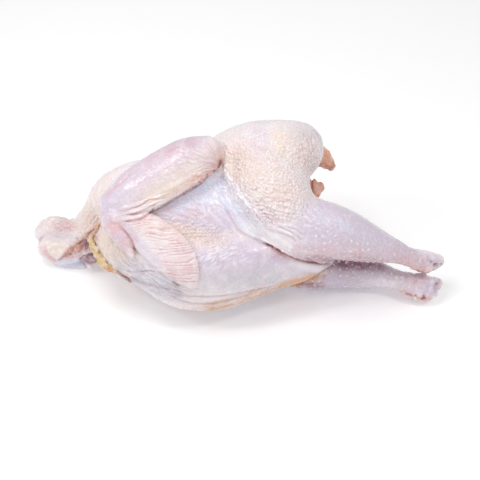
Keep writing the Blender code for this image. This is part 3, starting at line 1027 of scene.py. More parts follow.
def hashed(cells, seed):
    """A whole number for each lattice cell, the same each run."""
    mixed = cells[..., 0] * 374761393 + cells[..., 1] * 668265263 + cells[..., 2] * 1442695041
    mixed = (mixed + seed * 974634777) & 0xFFFFFFFF
    mixed = ((mixed ^ (mixed >> 15)) * 2246822519) & 0xFFFFFFFF
    mixed = ((mixed ^ (mixed >> 13)) * 3266489917) & 0xFFFFFFFF
    return mixed ^ (mixed >> 16)


def grain(places, seed):
    """Gradient noise, about -1 to 1, at each place of an array of three coordinates."""
    floor = np.floor(places)
    cell = floor.astype(np.int64)
    offset = places - floor
    blend = offset**3 * (offset * (offset * 6 - 15) + 10)
    total = np.zeros(len(places))
    for corner in np.ndindex(2, 2, 2):
        corner = np.array(corner)
        bits = hashed(cell + corner, seed)
        turn = (bits & 0xFFFF) / 65536 * 2 * math.pi
        rise = ((bits >> 16) & 0xFFFF) / 32768 - 1
        flat = np.sqrt(1 - rise * rise)
        slope = np.stack([flat * np.cos(turn), flat * np.sin(turn), rise], axis=1)
        weight = np.prod(np.where(corner, blend, 1 - blend), axis=1)
        total += weight * ((offset - corner) * slope).sum(axis=1)
    return total * GRAIN_GAIN


def cell_edges(places, seed):
    """How far inside its own cell each place is: 0 on the line between two cells, 1 well inside."""
    floor = np.floor(places)
    cell = floor.astype(np.int64)
    nearest = np.full(len(places), np.inf)
    second = np.full(len(places), np.inf)
    for step in np.ndindex(3, 3, 3):
        around = np.array(step) - 1
        bits = hashed(cell + around, seed)
        jitter = np.stack([bits & 0x3FF, (bits >> 10) & 0x3FF, (bits >> 20) & 0x3FF], axis=1) / 1023
        middle = floor + around + (1 - STRAY) / 2 + STRAY * jitter
        distance = np.linalg.norm(middle - places, axis=1)
        second = np.minimum(second, np.maximum(nearest, distance))
        nearest = np.minimum(nearest, distance)
    return np.clip((second - nearest) / STRAY, 0, 1)


# A line of the drawing is read at this many points for each millimetre, and at least.
LINE_POINTS_PER_MM = 0.5
FEWEST_LINE_POINTS = 8


def nearest_on(line, drawn):
    """How far each drawn point is from the line, + on its left, and the share of its length."""
    flat = np.pad(np.array(line, float), ((0, 0), (0, 1)))
    path = smooth_rows(flat, LINE_POINTS_PER_MM, FEWEST_LINE_POINTS)[:, :2]
    best = np.full(len(drawn), np.inf)
    side = np.ones(len(drawn))
    share = np.zeros(len(drawn))
    for number, (start, end) in enumerate(zip(path, path[1:])):
        along = end - start
        t = np.clip((drawn - start) @ along / (along @ along), 0, 1)
        gap = drawn - start - t[:, None] * along
        distance = np.hypot(gap[:, 0], gap[:, 1])
        closer = distance < best
        best[closer] = distance[closer]
        turn = along[0] * gap[:, 1] - along[1] * gap[:, 0]
        side[closer] = np.sign(turn[closer])
        share[closer] = (number + t[closer]) / (len(path) - 1)
    return best * side, share


def drawn_from(points):
    """Where points of the side view show in the drawing."""
    scale = 1 - points[:, 2] / EYE_NEAR
    return np.stack([points[:, 0] / scale, (points[:, 1] - EYE_UP) / scale], axis=1)


# A point faces the eye more and more as its normal's share towards the eye goes from one of
# these to the other. Points with a smaller share of a feature than LEAST_SHARE are left out, and
# a line is felt at most LINE_REACH widths away.
FACING = (-0.1, 0.3)
LEAST_SHARE = 0.01
LINE_REACH = 5

# A crease wanders by a share of its width, in waves of this many millimetres. Its lip and the spread of
# its painted shade are placed in widths, too.
CREASE_WANDER = 0.45
CREASE_WAVE = 4.5
LIP_PLACE = 2.0
LIP_SPREAD = 2.5
FLUSH_SPREAD = 1.8
STREAK_FADE = (0.1, 0.1)

# How narrow the valleys between wrinkles are, and between even ones, how far even ones stray, in
# spacings, and how much their depth varies. The line between two pebbles is as narrow.
VALLEY = 5
EVEN_VALLEY = 3.6
EVEN_STRAY = 1.4
EVEN_DEPTH = (0.6, 0.8)

# The mean height of a wrinkle and of a pebble, from which they rise and fall.
WRINKLE_MEAN = 0.35
PEBBLE_MEAN = 0.7
PIT_RAW = 0.6

# Tints are uneven by these shares, in patches of these sizes in millimetres.
UNEVEN = ((0.6, 9), (0.4, 3.5))


class Skin:
    """A mesh in the side view, where its points show in the drawing, its relief and its masks."""

    def __init__(self, obj):
        self.obj = obj
        mesh = obj.data
        self.points = read_vectors(mesh.vertices, "co") / MM
        self.normals = read_vectors(mesh.vertices, "normal")
        left = np.array(left_of_bird())
        beyond = np.minimum(self.points @ left, 0)
        folded = self.points - 2 * beyond[:, None] * left
        halves, seen = drawn_from(folded), drawn_from(self.points)
        self.placed = {"halves": folded, "facing": self.points, "through": self.points}
        self.drawn = {"halves": halves, "facing": seen, "through": seen}
        self.facing = ease(*FACING, self.normals[:, 2])
        self.masks = {name: np.zeros(len(self.points)) for name in MASKS + HAIRS}
        self.height = np.zeros(len(self.points))

    def near_place(self, place, reach, turn, on="halves", edge=3.0):
        """Which points are round the place, and how much: 1 there and 0 well beyond its reach."""
        gap = self.drawn[on] - np.array(place)
        c, s = math.cos(math.radians(turn)), math.sin(math.radians(turn))
        across = (gap[:, 0] * c + gap[:, 1] * s) / reach[0]
        up = (gap[:, 1] * c - gap[:, 0] * s) / reach[1]
        share = np.exp(-np.hypot(across, up) ** edge)
        if on == "facing":
            share = share * self.facing
        where = np.flatnonzero(share > LEAST_SHARE)
        return where, share[where]

    def near_line(self, line, width, fade, on):
        """Which points are near the line, how far on its left, and how much the line counts there."""
        low = np.min(line, axis=0) - LINE_REACH * width
        high = np.max(line, axis=0) + LINE_REACH * width
        drawn = self.drawn[on]
        where = np.flatnonzero(((drawn > low) & (drawn < high)).all(axis=1))
        distance, share = nearest_on(line, drawn[where])
        strength = ease(0, fade[0], share) * (1 - ease(1 - fade[1], 1, share))
        if on == "facing":
            strength = strength * self.facing[where]
        return where, distance / width, strength

    def lay(self, features, shape, seed):
        """Gives the skin each of the features, with a seed of its own."""
        for number, one in enumerate(features):
            shape(one, seed + number)

    def crease(self, groove, seed):
        """A groove and its lip, and painted shade that darkens and reddens the groove."""
        where, distance, strength = self.near_line(
            groove.line, groove.width, groove.fade, groove.on
        )
        wander = CREASE_WANDER * grain(self.placed[groove.on][where] / CREASE_WAVE, seed)
        cut = np.exp(-((distance + wander) ** 2)) * strength
        swell = np.exp(-((distance + wander - LIP_PLACE) ** 2) / LIP_SPREAD) * strength
        flush_shade = np.exp(-((distance / FLUSH_SPREAD) ** 2)) * strength
        self.height[where] += groove.lip * swell - groove.depth * cut
        self.masks["raw"][where] += groove.raw * cut
        self.masks["flush"][where] += groove.flush * flush_shade

    def ridges(self, where, share, valley, fold):
        """Rounded ridges, with painted shade in the narrow valleys and a painted highlight on the tops.
        """
        self.height[where] += fold.height * share * (WRINKLE_MEAN - valley)
        self.masks["flush"][where] += fold.flush * share * valley
        self.masks["pale"][where] += fold.pale * share * ease(0.3, 0.05, valley)

    def wrinkles(self, fold, seed):
        """Side by side along an angle: valleys where noise crosses zero, or else evenly spaced."""
        where, share = self.near_place(fold.place, fold.reach, fold.turn, fold.on)
        turn = math.radians(fold.angle)
        x, up, near = self.placed[fold.on][where].T
        along = x * math.cos(turn) + up * math.sin(turn)
        across = up * math.cos(turn) - x * math.sin(turn)
        places = np.stack([along / fold.run, across / fold.spacing, near / fold.spacing], axis=1)
        if fold.even:
            wander = grain(places * np.array([1.0, 0.3, 0.3]), seed)
            count = across / fold.spacing + EVEN_STRAY * wander
            valley = np.exp(-EVEN_VALLEY * np.abs(np.sin(math.pi * count)))
            least, more = EVEN_DEPTH
            valley *= least + more * np.clip(grain(places * 0.7, seed + 500), -0.5, 0.5)
        else:
            valley = np.exp(-VALLEY * np.abs(grain(places, seed)))
        self.ridges(where, share, valley, fold)

    def fan(self, fold, seed):
        """Valleys that run out from the fan's centre."""
        where, share = self.near_place(fold.place, fold.reach, fold.turn)
        gap = self.drawn["halves"][where] - np.array(fold.centre)
        radius = np.hypot(gap[:, 0], gap[:, 1])
        reach = np.linalg.norm(np.array(fold.place) - np.array(fold.centre))
        around = np.arctan2(-gap[:, 1], -gap[:, 0])
        across = around * reach / fold.spacing
        deep = self.placed["halves"][where, 2] / fold.run
        places = np.stack([radius / fold.run, across, deep], axis=1)
        valley = np.exp(-VALLEY * np.abs(grain(places, seed)))
        self.ridges(where, share, valley, fold)

    def pebbles(self, group, seed):
        """Bumps over uneven cells, with a flush of painted shade on the lines between them."""
        where, share = self.near_place(group.place, group.reach, group.turn, group.on)
        turn = math.radians(group.angle)
        x, up, near = self.placed[group.on][where].T
        along = (x * math.cos(turn) + up * math.sin(turn)) / group.stretch
        across = up * math.cos(turn) - x * math.sin(turn)
        inside = cell_edges(np.stack([along, across, near], axis=1) / group.size, seed)
        self.height[where] += group.height * share * (np.sqrt(inside) - PEBBLE_MEAN)
        self.masks["flush"][where] += group.flush * share * np.exp(-VALLEY * inside)

    def lumps(self, group, seed):
        """Smooth swellings and hollows."""
        where, share = self.near_place(group.place, group.reach, group.turn, group.on)
        swell = grain(self.placed[group.on][where] / group.size, seed)
        self.height[where] += group.height * share * swell

    def pit(self, hole):
        """A small dark hollow."""
        gap = self.drawn["facing"] - np.array(hole.place)
        share = np.exp(-((np.hypot(gap[:, 0], gap[:, 1]) / hole.radius) ** 2)) * self.facing
        self.height -= hole.depth * share
        self.masks["raw"] += PIT_RAW * share

    def tint(self, tints, streaks, seed):
        """Lays the tints and the streaks on the masks, with uneven edges."""
        uneven = np.ones(len(self.points))
        for number, (amount, size) in enumerate(UNEVEN):
            uneven += amount * grain(self.placed["halves"] / size, seed + number)
        for one in tints:
            where, share = self.near_place(one.place, one.reach, one.turn, one.on, one.edge)
            self.masks[one.mask][where] += one.amount * uneven[where] * share
        for one in streaks:
            where, distance, strength = self.near_line(one.line, one.width, STREAK_FADE, one.on)
            share = strength * np.exp(-(distance**2))
            self.masks[one.mask][where] += one.amount * uneven[where] * share

    def finish(self, relief):
        """Moves each point along its normal by its height, and stores the masks."""
        moved = (self.points + self.normals * (self.height * relief)[:, None]) * MM
        mesh = self.obj.data
        mesh.vertices.foreach_set("co", moved.ravel())
        mesh.update()
        for name, values in self.masks.items():
            attribute = mesh.attributes.new(name, "FLOAT", "POINT")
            attribute.data.foreach_set("value", np.clip(values, 0, 1).astype(np.float32))


def side_to_frame():
    """The matrix that lays the side view down in the frame: the lobes' box meets the solid's."""
    turn = Matrix.Rotation(SIDE_TURN, 4, "X")
    rings = body_rings() + wing_rings(False) + wing_rings(True)
    for one in (NECK_FLAP, NECK_END, FAT_RIM, TAIL, VENT_FLAP):
        rings.append(ring_points(one))
    points = np.concatenate([one.reshape(-1, 3) for one in rings]) * MM
    turned = points @ np.array(turn.to_3x3()).T
    low, high = turned.min(axis=0), turned.max(axis=0)
    cad_low, cad_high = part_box(NODE)
    middle = (cad_low + cad_high) / 2
    across = middle.x - (low[0] + high[0]) / 2, middle.y - (low[1] + high[1]) / 2
    return Matrix.Translation((*across, cad_high.z - high[2])) @ turn


TO_FRAME = side_to_frame()

# Over how many millimetres the skin rounds off where it meets the floor.
FLOOR_SOFTNESS = 0.8


def press_on_floor(obj):
    """Presses what would sink below the floor flat."""
    points = read_vectors(obj.data.vertices, "co")
    height = points[:, 2]
    points[:, 2] = 0.5 * (height + np.sqrt(height**2 + (FLOOR_SOFTNESS * MM) ** 2))
    obj.data.vertices.foreach_set("co", points.ravel())
    obj.data.update()


def lay_down(obj):
    """Puts a piece in the frame."""
    obj.data.transform(TO_FRAME)
    press_on_floor(obj)


def colour(hex_value):
    """Linear red, green and blue of an sRGB hex value."""
    channels = [int(hex_value[k : k + 2], 16) / 255 for k in (1, 3, 5)]
    return tuple(c / 12.92 if c <= 0.04045 else ((c + 0.055) / 1.055) ** 2.4 for c in channels)


def socket(sockets, key):
    """The socket with this identifier, or else with this name."""
    for one in sockets:
        if one.identifier == key:
            return one
    return sockets[key]


def add_node(tree, kind, settings=None, inputs=None, output=0):
    """Adds a node with its settings, and its inputs as values or links, and gives an output."""
    node = tree.nodes.new(kind)
    for name, value in (settings or {}).items():
        setattr(node, name, value)
    for key, value in (inputs or {}).items():
        into = socket(node.inputs, key)
        if isinstance(value, bpy.types.NodeSocket):
            tree.links.new(value, into)
        else:
            into.default_value = value
    if output is None:
        return node
    return node.outputs[output] if isinstance(output, int) else socket(node.outputs, output)


def new_material(name):
    """A material with an empty node tree."""
    material = bpy.data.materials.new(name)
    material.use_nodes = True
    material.node_tree.nodes.clear()
    return material


def rgba(values):
    """Red, green and blue with a full alpha, as a colour socket takes them."""
    return (*values[:3], 1.0)


def raw_poultry(colours, name, wet=0.45, pale=0.3, deep=1.0, clear=0.2, faded=0.0):
    """Raw poultry, chilled and moist: thin skin, fat or flesh.

    The skin is thin and see-through, over white fat or lilac flesh. Light goes a few millimetres
    in, deep, and comes out pinker. The wet film on it gives small, sharp highlights, broken by
    wrinkles and pores.
    """
    material = new_material(name)
    tree = material.node_tree
    place = add_node(tree, "ShaderNodeTexCoord", output="Object")
    shade = rgba(colours.skin)
    for mask in MASKS:
        share = add_node(tree, "ShaderNodeAttribute", {"attribute_name": mask}, output="Fac")
        shade = add_node(
            tree, "ShaderNodeMix", {"data_type": "RGBA"},
            {"Factor_Float": share, "A_Color": shade, "B_Color": rgba(getattr(colours, mask))},
            "Result_Color",
        )
    # Blood under the skin, in blotches of 7 mm, and white flecks of fat of 1.6 mm.
    for size, low, high, most, over in (
        (7.0, 0.4, 0.75, 0.2, colours.flush),
        (1.6, 0.52, 0.72, pale, colours.pale),
    ):
        spots = add_node(
            tree, "ShaderNodeTexNoise", {},
            {"Vector": place, "Scale": 1 / (size * MM), "Detail": 2.0},
        )
        share = add_node(
            tree, "ShaderNodeMapRange", {},
            {"Value": spots, "From Min": low, "From Max": high, "To Min": 0.0, "To Max": most},
        )
        shade = add_node(
            tree, "ShaderNodeMix", {"data_type": "RGBA"},
            {"Factor_Float": share, "A_Color": shade, "B_Color": rgba(over)}, "Result_Color",
        )
    # Bumps are faded towards pale: partly their own whiteness, partly a painted highlight on
    # their tops.
    if faded:
        shade = add_node(
            tree, "ShaderNodeMix", {"data_type": "RGBA"},
            {"Factor_Float": faded, "A_Color": shade, "B_Color": rgba(colours.pale)}, "Result_Color",
        )
    # Pores 0.9 mm apart, a quarter of a millimetre deep, and a film that is wetter in patches of
    # 5 mm, which breaks up its highlights.
    pores = add_node(
        tree, "ShaderNodeTexNoise", {}, {"Vector": place, "Scale": 1 / (0.9 * MM), "Detail": 3.0},
    )
    relief = add_node(
        tree, "ShaderNodeBump", {}, {"Strength": 0.6, "Distance": 0.25 * MM, "Height": pores},
    )
    film = add_node(tree, "ShaderNodeTexNoise", {}, {"Vector": place, "Scale": 1 / (5.0 * MM)})
    roughness = add_node(
        tree, "ShaderNodeMapRange", {},
        {"Value": film, "From Min": 0.3, "From Max": 0.7, "To Min": 0.22, "To Max": 0.38},
    )
    surface = add_node(
        tree, "ShaderNodeBsdfPrincipled", {"subsurface_method": "RANDOM_WALK"},
        {
            "Base Color": shade,
            "Roughness": roughness,
            "IOR": 1.4,
            "Subsurface Weight": clear,
            "Subsurface Radius": (1.0, 0.55, 0.45),
            "Subsurface Scale": deep * MM,
            "Coat Weight": wet,
            "Coat Roughness": 0.16,
            "Normal": relief,
        },
    )
    add_node(tree, "ShaderNodeOutputMaterial", {}, {"Surface": surface}, None)
    return material


def finished(obj, material):
    """A finished piece: smooth, with its material, on the bird's one body."""
    obj.data.materials.clear()
    obj.data.materials.append(material)
    if not obj.data.has_custom_normals:
        obj.data.shade_smooth()
    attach(obj, BODY)
    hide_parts(NODE)


# Where the body's skin is cut across into parts, by x in the side view in millimetres. The cuts
# don't show: they only keep each part under 200,000 triangles. FAR is beyond either end.
FAR = 1000
BODY_PARTS = (
    ("neck", -FAR, -91),
    ("front", -91, -18),
    ("rear", -18, 36),
    ("thighs", 36, 88),
    ("drumsticks", 88, FAR),
)
# A point this near to a cut, in millimetres, is moved onto it.
CUT_SNAP = 0.01


def cut_off(body, name, low, high):
    """The closed part of a skin from low to high in x, shaded as the whole skin is."""
    bm = bmesh.new()
    bm.from_mesh(body.data)
    for place, side in ((low, -1), (high, 1)):
        bmesh.ops.bisect_plane(
            bm, geom=bm.verts[:] + bm.edges[:] + bm.faces[:], dist=CUT_SNAP * MM,
            plane_co=(place, 0, 0), plane_no=(side, 0, 0), clear_outer=True,
        )
    rim = [edge for edge in bm.edges if edge.is_boundary]
    bmesh.ops.holes_fill(bm, edges=rim, sides=0)
    for edge in rim:
        edge.smooth = False
    bmesh.ops.recalc_face_normals(bm, faces=bm.faces)
    mesh = bpy.data.meshes.new(name)
    bm.to_mesh(mesh)
    bm.free()
    mesh.shade_smooth()
    whole = read_vectors(mesh.attributes["whole_normal"].data, "vector")
    mesh.normals_split_custom_set_from_vertices(whole)
    mesh.attributes.remove(mesh.attributes["whole_normal"])
    part = bpy.data.objects.new(name, mesh)
    bpy.context.scene.collection.objects.link(part)
    return part


# The bumps: at most this many on a square metre, each from the least to the most of its size,
# with few sides, and their height and how far they are sunk, in radii.
MOST_BUMPS = 400000.0
BUMP_GROWTH = (0.55, 1.15)
BUMP_SIDES = 8
BUMP_RINGS = 5
BUMP_HEIGHT = 0.45
BUMP_SUNK = -0.12
BUMP_SEEDS = (7, 3)


def scatter_tree(material):
    """A node tree that strews small round bumps over a mesh, where its mask says."""
    tree = bpy.data.node_groups.new("scatter_bumps", "GeometryNodeTree")
    for name, kind in (
        ("Geometry", "NodeSocketGeometry"),
        ("Mask", "NodeSocketString"),
        ("Spacing", "NodeSocketFloat"),
        ("Radius", "NodeSocketFloat"),
        ("Height", "NodeSocketFloat"),
        ("Sunk", "NodeSocketFloat"),
    ):
        tree.interface.new_socket(name, in_out="INPUT", socket_type=kind)
    tree.interface.new_socket("Geometry", in_out="OUTPUT", socket_type="NodeSocketGeometry")
    given = add_node(tree, "NodeGroupInput", output=None).outputs
    share = add_node(
        tree, "GeometryNodeInputNamedAttribute", {"data_type": "FLOAT"},
        {"Name": given["Mask"]}, "Attribute",
    )
    strewn = add_node(
        tree, "GeometryNodeDistributePointsOnFaces", {"distribute_method": "POISSON"},
        {
            "Mesh": given["Geometry"],
            "Distance Min": given["Spacing"],
            "Density Max": MOST_BUMPS,
            "Density Factor": share,
            "Seed": BUMP_SEEDS[0],
        },
        None,
    ).outputs
    grown = add_node(
        tree, "FunctionNodeRandomValue", {"data_type": "FLOAT"},
        {"Min_001": BUMP_GROWTH[0], "Max_001": BUMP_GROWTH[1], "Seed": BUMP_SEEDS[1]}, "Value_001",
    )
    flat = add_node(
        tree, "ShaderNodeCombineXYZ", {},
        {"X": given["Radius"], "Y": given["Radius"], "Z": given["Height"]},
    )
    scale = add_node(
        tree, "ShaderNodeVectorMath", {"operation": "SCALE"}, {"Vector": flat, "Scale": grown},
    )
    inward = add_node(
        tree, "ShaderNodeVectorMath", {"operation": "SCALE"},
        {"Vector": strewn["Normal"], "Scale": given["Sunk"]},
    )
    sunk = add_node(
        tree, "GeometryNodeSetPosition", {}, {"Geometry": strewn["Points"], "Offset": inward},
    )
    bump = add_node(
        tree, "GeometryNodeMeshUVSphere", {},
        {"Segments": BUMP_SIDES, "Rings": BUMP_RINGS, "Radius": 1.0}, "Mesh",
    )
    placed = add_node(
        tree, "GeometryNodeInstanceOnPoints", {},
        {"Points": sunk, "Instance": bump, "Rotation": strewn["Rotation"], "Scale": scale},
    )
    real = add_node(tree, "GeometryNodeRealizeInstances", {}, {"Geometry": placed})
    done = add_node(tree, "GeometryNodeSetMaterial", {}, {"Geometry": real, "Material": material})
    add_node(tree, "NodeGroupOutput", {}, {"Geometry": done}, None)
    return tree


def scatter(name, over, tree, values):
    """A plain mesh of the bumps that the tree strews over an object."""
    obj = bpy.data.objects.new(name, over.data.copy())
    bpy.context.scene.collection.objects.link(obj)
    modifier = obj.modifiers.new("scatter", "NODES")
    modifier.node_group = tree
    for item in tree.interface.items_tree:
        if item.in_out == "INPUT" and item.name in values:
            modifier[item.identifier] = values[item.name]
    apply_modifiers(obj)
    press_on_floor(obj)
    return obj


class RoosterSizes(bpy.types.PropertyGroup):
    body_cell: FloatProperty(
        name="Body cell", description="Side of the cells of the body's skin",
        default=0.72 * MM, min=0.5 * MM, precision=5, unit="LENGTH",
    )
    wing_cell: FloatProperty(
        name="Wing cell", description="Side of the cells of the wings' skin",
        default=0.66 * MM, min=0.5 * MM, precision=5, unit="LENGTH",
    )
    fold_cell: FloatProperty(
        name="Fold cell",
        description="Side of the cells of the fat, the tail and the cut end of the neck",
        default=0.6 * MM, min=0.4 * MM, precision=5, unit="LENGTH",
    )
    relief: FloatProperty(
        name="Relief", description="Depth of creases and wrinkles, beside the real bird's",
        default=1.5, min=0.0, max=2.0, subtype="FACTOR",
    )
    follicle_spacing: FloatProperty(
        name="Follicle spacing", description="Least distance between two follicles",
        default=3.4 * MM, min=1.5 * MM, precision=5, unit="LENGTH",
    )
    follicle_radius: FloatProperty(
        name="Follicle radius", description="Radius of a follicle's bump",
        default=1.1 * MM, min=0.2 * MM, precision=5, unit="LENGTH",
    )
    quill_spacing: FloatProperty(
        name="Quill spacing", description="Least distance between two quill bumps on the drumsticks",
        default=5.6 * MM, min=2.0 * MM, precision=5, unit="LENGTH",
    )
    quill_radius: FloatProperty(
        name="Quill radius", description="Radius of a quill bump",
        default=1.6 * MM, min=0.2 * MM, precision=5, unit="LENGTH",
    )


class RoosterColours(bpy.types.PropertyGroup):
    skin: FloatVectorProperty(
        name="Skin", description="Skin over white fat",
        default=colour("#f1e9ec"), size=3, subtype="COLOR",
    )
    # Pale is also painted highlight: on wrinkle ridges, on the lips of creases and in glossy
    # streaks, and painted light that lifts skin lying in shade.
    pale: FloatVectorProperty(
        name="Pale", description="Flecks and follicles",
        default=colour("#f9f6f8"), size=3, subtype="COLOR",
    )
    cream: FloatVectorProperty(
        name="Cream", description="Skin over yellow fat",
        default=colour("#eee0d3"), size=3, subtype="COLOR",
    )
    lilac: FloatVectorProperty(
        name="Lilac", description="Thin skin over flesh",
        default=colour("#d5cadc"), size=3, subtype="COLOR",
    )
    grey: FloatVectorProperty(
        name="Grey", description="Loose skin with nothing under it",
        default=colour("#c9c7cf"), size=3, subtype="COLOR",
    )
    blue: FloatVectorProperty(
        name="Blue", description="Cool skin over muscle",
        default=colour("#dce2f6"), size=3, subtype="COLOR",
    )
    # The flush is real reddening, and also painted shade in the valleys of wrinkles, on the
    # lines between pebbles and round creases.
    flush: FloatVectorProperty(
        name="Flush", description="Skin reddened by plucking",
        default=colour("#e0bbbd"), size=3, subtype="COLOR",
    )
    tan: FloatVectorProperty(
        name="Tan", description="Skin dried at an edge",
        default=colour("#d09f78"), size=3, subtype="COLOR",
    )
    rust: FloatVectorProperty(
        name="Rust", description="Tail and vent", default=colour("#e39f7a"), size=3, subtype="COLOR",
    )
    flesh: FloatVectorProperty(
        name="Flesh", description="Bare flesh", default=colour("#d09b8e"), size=3, subtype="COLOR",
    )
    fat: FloatVectorProperty(
        name="Fat", description="Yellow fat", default=colour("#d9bb7c"), size=3, subtype="COLOR",
    )
    # Mauve is the deep flesh of the neck end and hocks, and also painted shade between the
    # drumsticks, on their shaded sides and along the wing's crevice.
    mauve: FloatVectorProperty(
        name="Mauve", description="Deep flesh in the shade",
        default=colour("#8e6a7c"), size=3, subtype="COLOR",
    )
    # Dark red: painted shade in the bottom of creases, in the wing's crevice and under the left
    # drumstick, besides the real dark red of cut edges, bone ends and the tail's tip.
    raw: FloatVectorProperty(
        name="Raw", description="The depth of a crease",
        default=colour("#94504f"), size=3, subtype="COLOR",
    )


# The studio, in metres: half a side of the floor, which ends beyond what any view shows, the
# place and the sides of the large lamp above, and those of the two small lamps that put the
# glints on the wet skin. The width of the camera's sensor is in millimetres.
FLOOR_REACH = 14.0
KEY_PLACE = (-0.25, -0.15, 1.0)
KEY_SIDES = (0.45, 0.35)
GLINT_PLACES = ((0.45, -0.35, 0.95), (-0.6, -0.3, 0.85))
GLINT_SIDES = (0.12, 0.12)
SENSOR_WIDTH = 36.0


class RoosterStudio(bpy.types.PropertyGroup):
    lens: FloatProperty(name="Lens", description="Focal length", default=85.0, unit="CAMERA")
    floor: FloatVectorProperty(
        name="Floor", description="The pale floor", default=colour("#fdfdfd"), size=3, subtype="COLOR",
    )
    glow: FloatProperty(
        name="Glow", description="Light that the floor gives off",
        default=0.12, min=0.0,
    )
    fill: FloatProperty(
        name="Fill", description="Strength of the light from all round",
        default=0.6, min=0.0,
    )
    glint: FloatProperty(
        name="Glint", description="Power of each small lamp", default=1.3, min=0.0, unit="POWER",
    )
    key: FloatProperty(
        name="Key", description="Power of the large soft light above",
        default=2.95, min=0.0, unit="POWER",
    )


class ROOSTER_OT_body(bpy.types.Operator):
    """Makes the skin of the trunk, breast, shoulders, legs and neck"""

    bl_idname = "rooster.body"
    bl_label = "Body"

    def execute(self, context):
        sizes = context.scene.rooster_sizes
        body = lobes_joined("body_skin", body_rings())
        draw_skin(body, BRIDGE_CELL)
        smooth_bridges(body)
        folds = [
            ring_points(FLANK_FOLD),
            ring_points(FLANK_FOLD, mirrored=True),
            ring_points(NECK_FLAP),
            ring_points(NECK_STRIP),
        ]
        join(body, [lobe(f"fold_{number}", rings) for number, rings in enumerate(folds)])
        draw_skin(body, sizes.body_cell / MM)
        settle(body, SKIN_SMOOTHING)
        skin = Skin(body)
        skin.lay(BODY_CREASES, skin.crease, CREASE_SEED)
        skin.lay(BODY_FOLDS, skin.wrinkles, WRINKLE_SEED)
        skin.lay(BODY_PEBBLES, skin.pebbles, PEBBLE_SEED)
        skin.lay(BODY_LUMPS, skin.lumps, LUMP_SEED)
        for one in BODY_PITS:
            skin.pit(one)
        skin.tint(BODY_TINTS + BODY_HAIRS, BODY_STREAKS, TINT_SEED)
        skin.finish(sizes.relief)
        lay_down(body)
        return {"FINISHED"}


class ROOSTER_OT_wings(bpy.types.Operator):
    """Makes both wings, folded: upper arm, forearm, hand and thumb"""

    bl_idname = "rooster.wings"
    bl_label = "Wings"

    def execute(self, context):
        sizes, colours = context.scene.rooster_sizes, context.scene.rooster_colours
        material = raw_poultry(colours, "raw_poultry_wing_skin")
        for name, mirrored in (("wing_left", False), ("wing_right", True)):
            wing = lobes_joined(name, wing_rings(mirrored))
            draw_skin(wing, sizes.wing_cell / MM)
            settle(wing, SKIN_SMOOTHING)
            skin = Skin(wing)
            skin.lay(WING_CREASES, skin.crease, CREASE_SEED)
            skin.lay(WING_FOLDS, skin.wrinkles, WRINKLE_SEED)
            skin.lay(WING_FANS, skin.fan, FAN_SEED)
            skin.tint(WING_TINTS, WING_STREAKS, TINT_SEED)
            skin.finish(sizes.relief)
            lay_down(wing)
            finished(wing, material)
        return {"FINISHED"}


class ROOSTER_OT_ends(bpy.types.Operator):
    """Makes what is bare of skin: fat rim, cut end of the neck, tail and the flap at the vent"""

    bl_idname = "rooster.ends"
    bl_label = "Fat, neck end, tail and vent"

    def execute(self, context):
        sizes, colours = context.scene.rooster_sizes, context.scene.rooster_colours
        flesh = raw_poultry(colours, "raw_poultry_flesh", pale=0.1)
        fat = raw_poultry(colours, "raw_poultry_fat", wet=0.25, pale=0.15, deep=2.0)
        for name, stations, tints, creases, material, size, height in (
            ("fat_rim", FAT_RIM, FAT_TINTS, (), fat, 3.2, 1.5),
            ("neck_end", NECK_END, NECK_END_TINTS, (), flesh, 4.5, 0.8),
            ("tail", TAIL, TAIL_TINTS, (), flesh, 4.0, 0.7),
            ("vent_flap", VENT_FLAP, TAIL_TINTS, VENT_CREASES, flesh, 4.0, 0.8),
        ):
            piece = lobes_joined(name, [ring_points(stations)])
            draw_skin(piece, sizes.fold_cell / MM)
            settle(piece, END_SMOOTHING)
            skin = Skin(piece)
            ragged = Lumps((0, 0), EVERYWHERE, size=size, height=height, on="through")
            skin.lumps(ragged, END_LUMP_SEED)
            skin.lay(creases, skin.crease, END_CREASE_SEED)
            skin.tint(tints, (), TINT_SEED)
            skin.finish(sizes.relief)
            lay_down(piece)
            finished(piece, material)
        return {"FINISHED"}


class ROOSTER_OT_follicles(bpy.types.Operator):
    """Strews follicles over the thighs and back, and quill bumps over the drumsticks"""

    bl_idname = "rooster.follicles"
    bl_label = "Follicles"

    def execute(self, context):
        sizes, colours = context.scene.rooster_sizes, context.scene.rooster_colours
        body = bpy.data.objects["body_skin"]
        # Each kind's fade towards pale is partly a painted highlight on the bumps' tops.
        for name, spacing, radius, faded in (
            ("follicles", sizes.follicle_spacing, sizes.follicle_radius, 0.35),
            ("quills", sizes.quill_spacing, sizes.quill_radius, 0.45),
        ):
            material = raw_poultry(colours, f"raw_poultry_{name}", clear=0.0, faded=faded)
            values = {
                "Mask": name,
                "Spacing": spacing,
                "Radius": radius,
                "Height": BUMP_HEIGHT * radius,
                "Sunk": BUMP_SUNK * radius,
            }
            finished(scatter(name, body, scatter_tree(material), values), material)
        return {"FINISHED"}


class ROOSTER_OT_parts(bpy.types.Operator):
    """Cuts the body's skin across into parts, each a finished piece"""

    bl_idname = "rooster.parts"
    bl_label = "Body parts"

    def execute(self, context):
        body = bpy.data.objects["body_skin"]
        normals = body.data.attributes.new("whole_normal", "FLOAT_VECTOR", "POINT")
        normals.data.foreach_set("vector", read_vectors(body.data.vertices, "normal").ravel())
        material = raw_poultry(context.scene.rooster_colours, "raw_poultry_skin")
        shift = TO_FRAME.translation.x
        for name, low, high in BODY_PARTS:
            part = cut_off(body, f"body_{name}", low * MM + shift, high * MM + shift)
            finished(part, material)
        bpy.data.objects.remove(body)
        return {"FINISHED"}


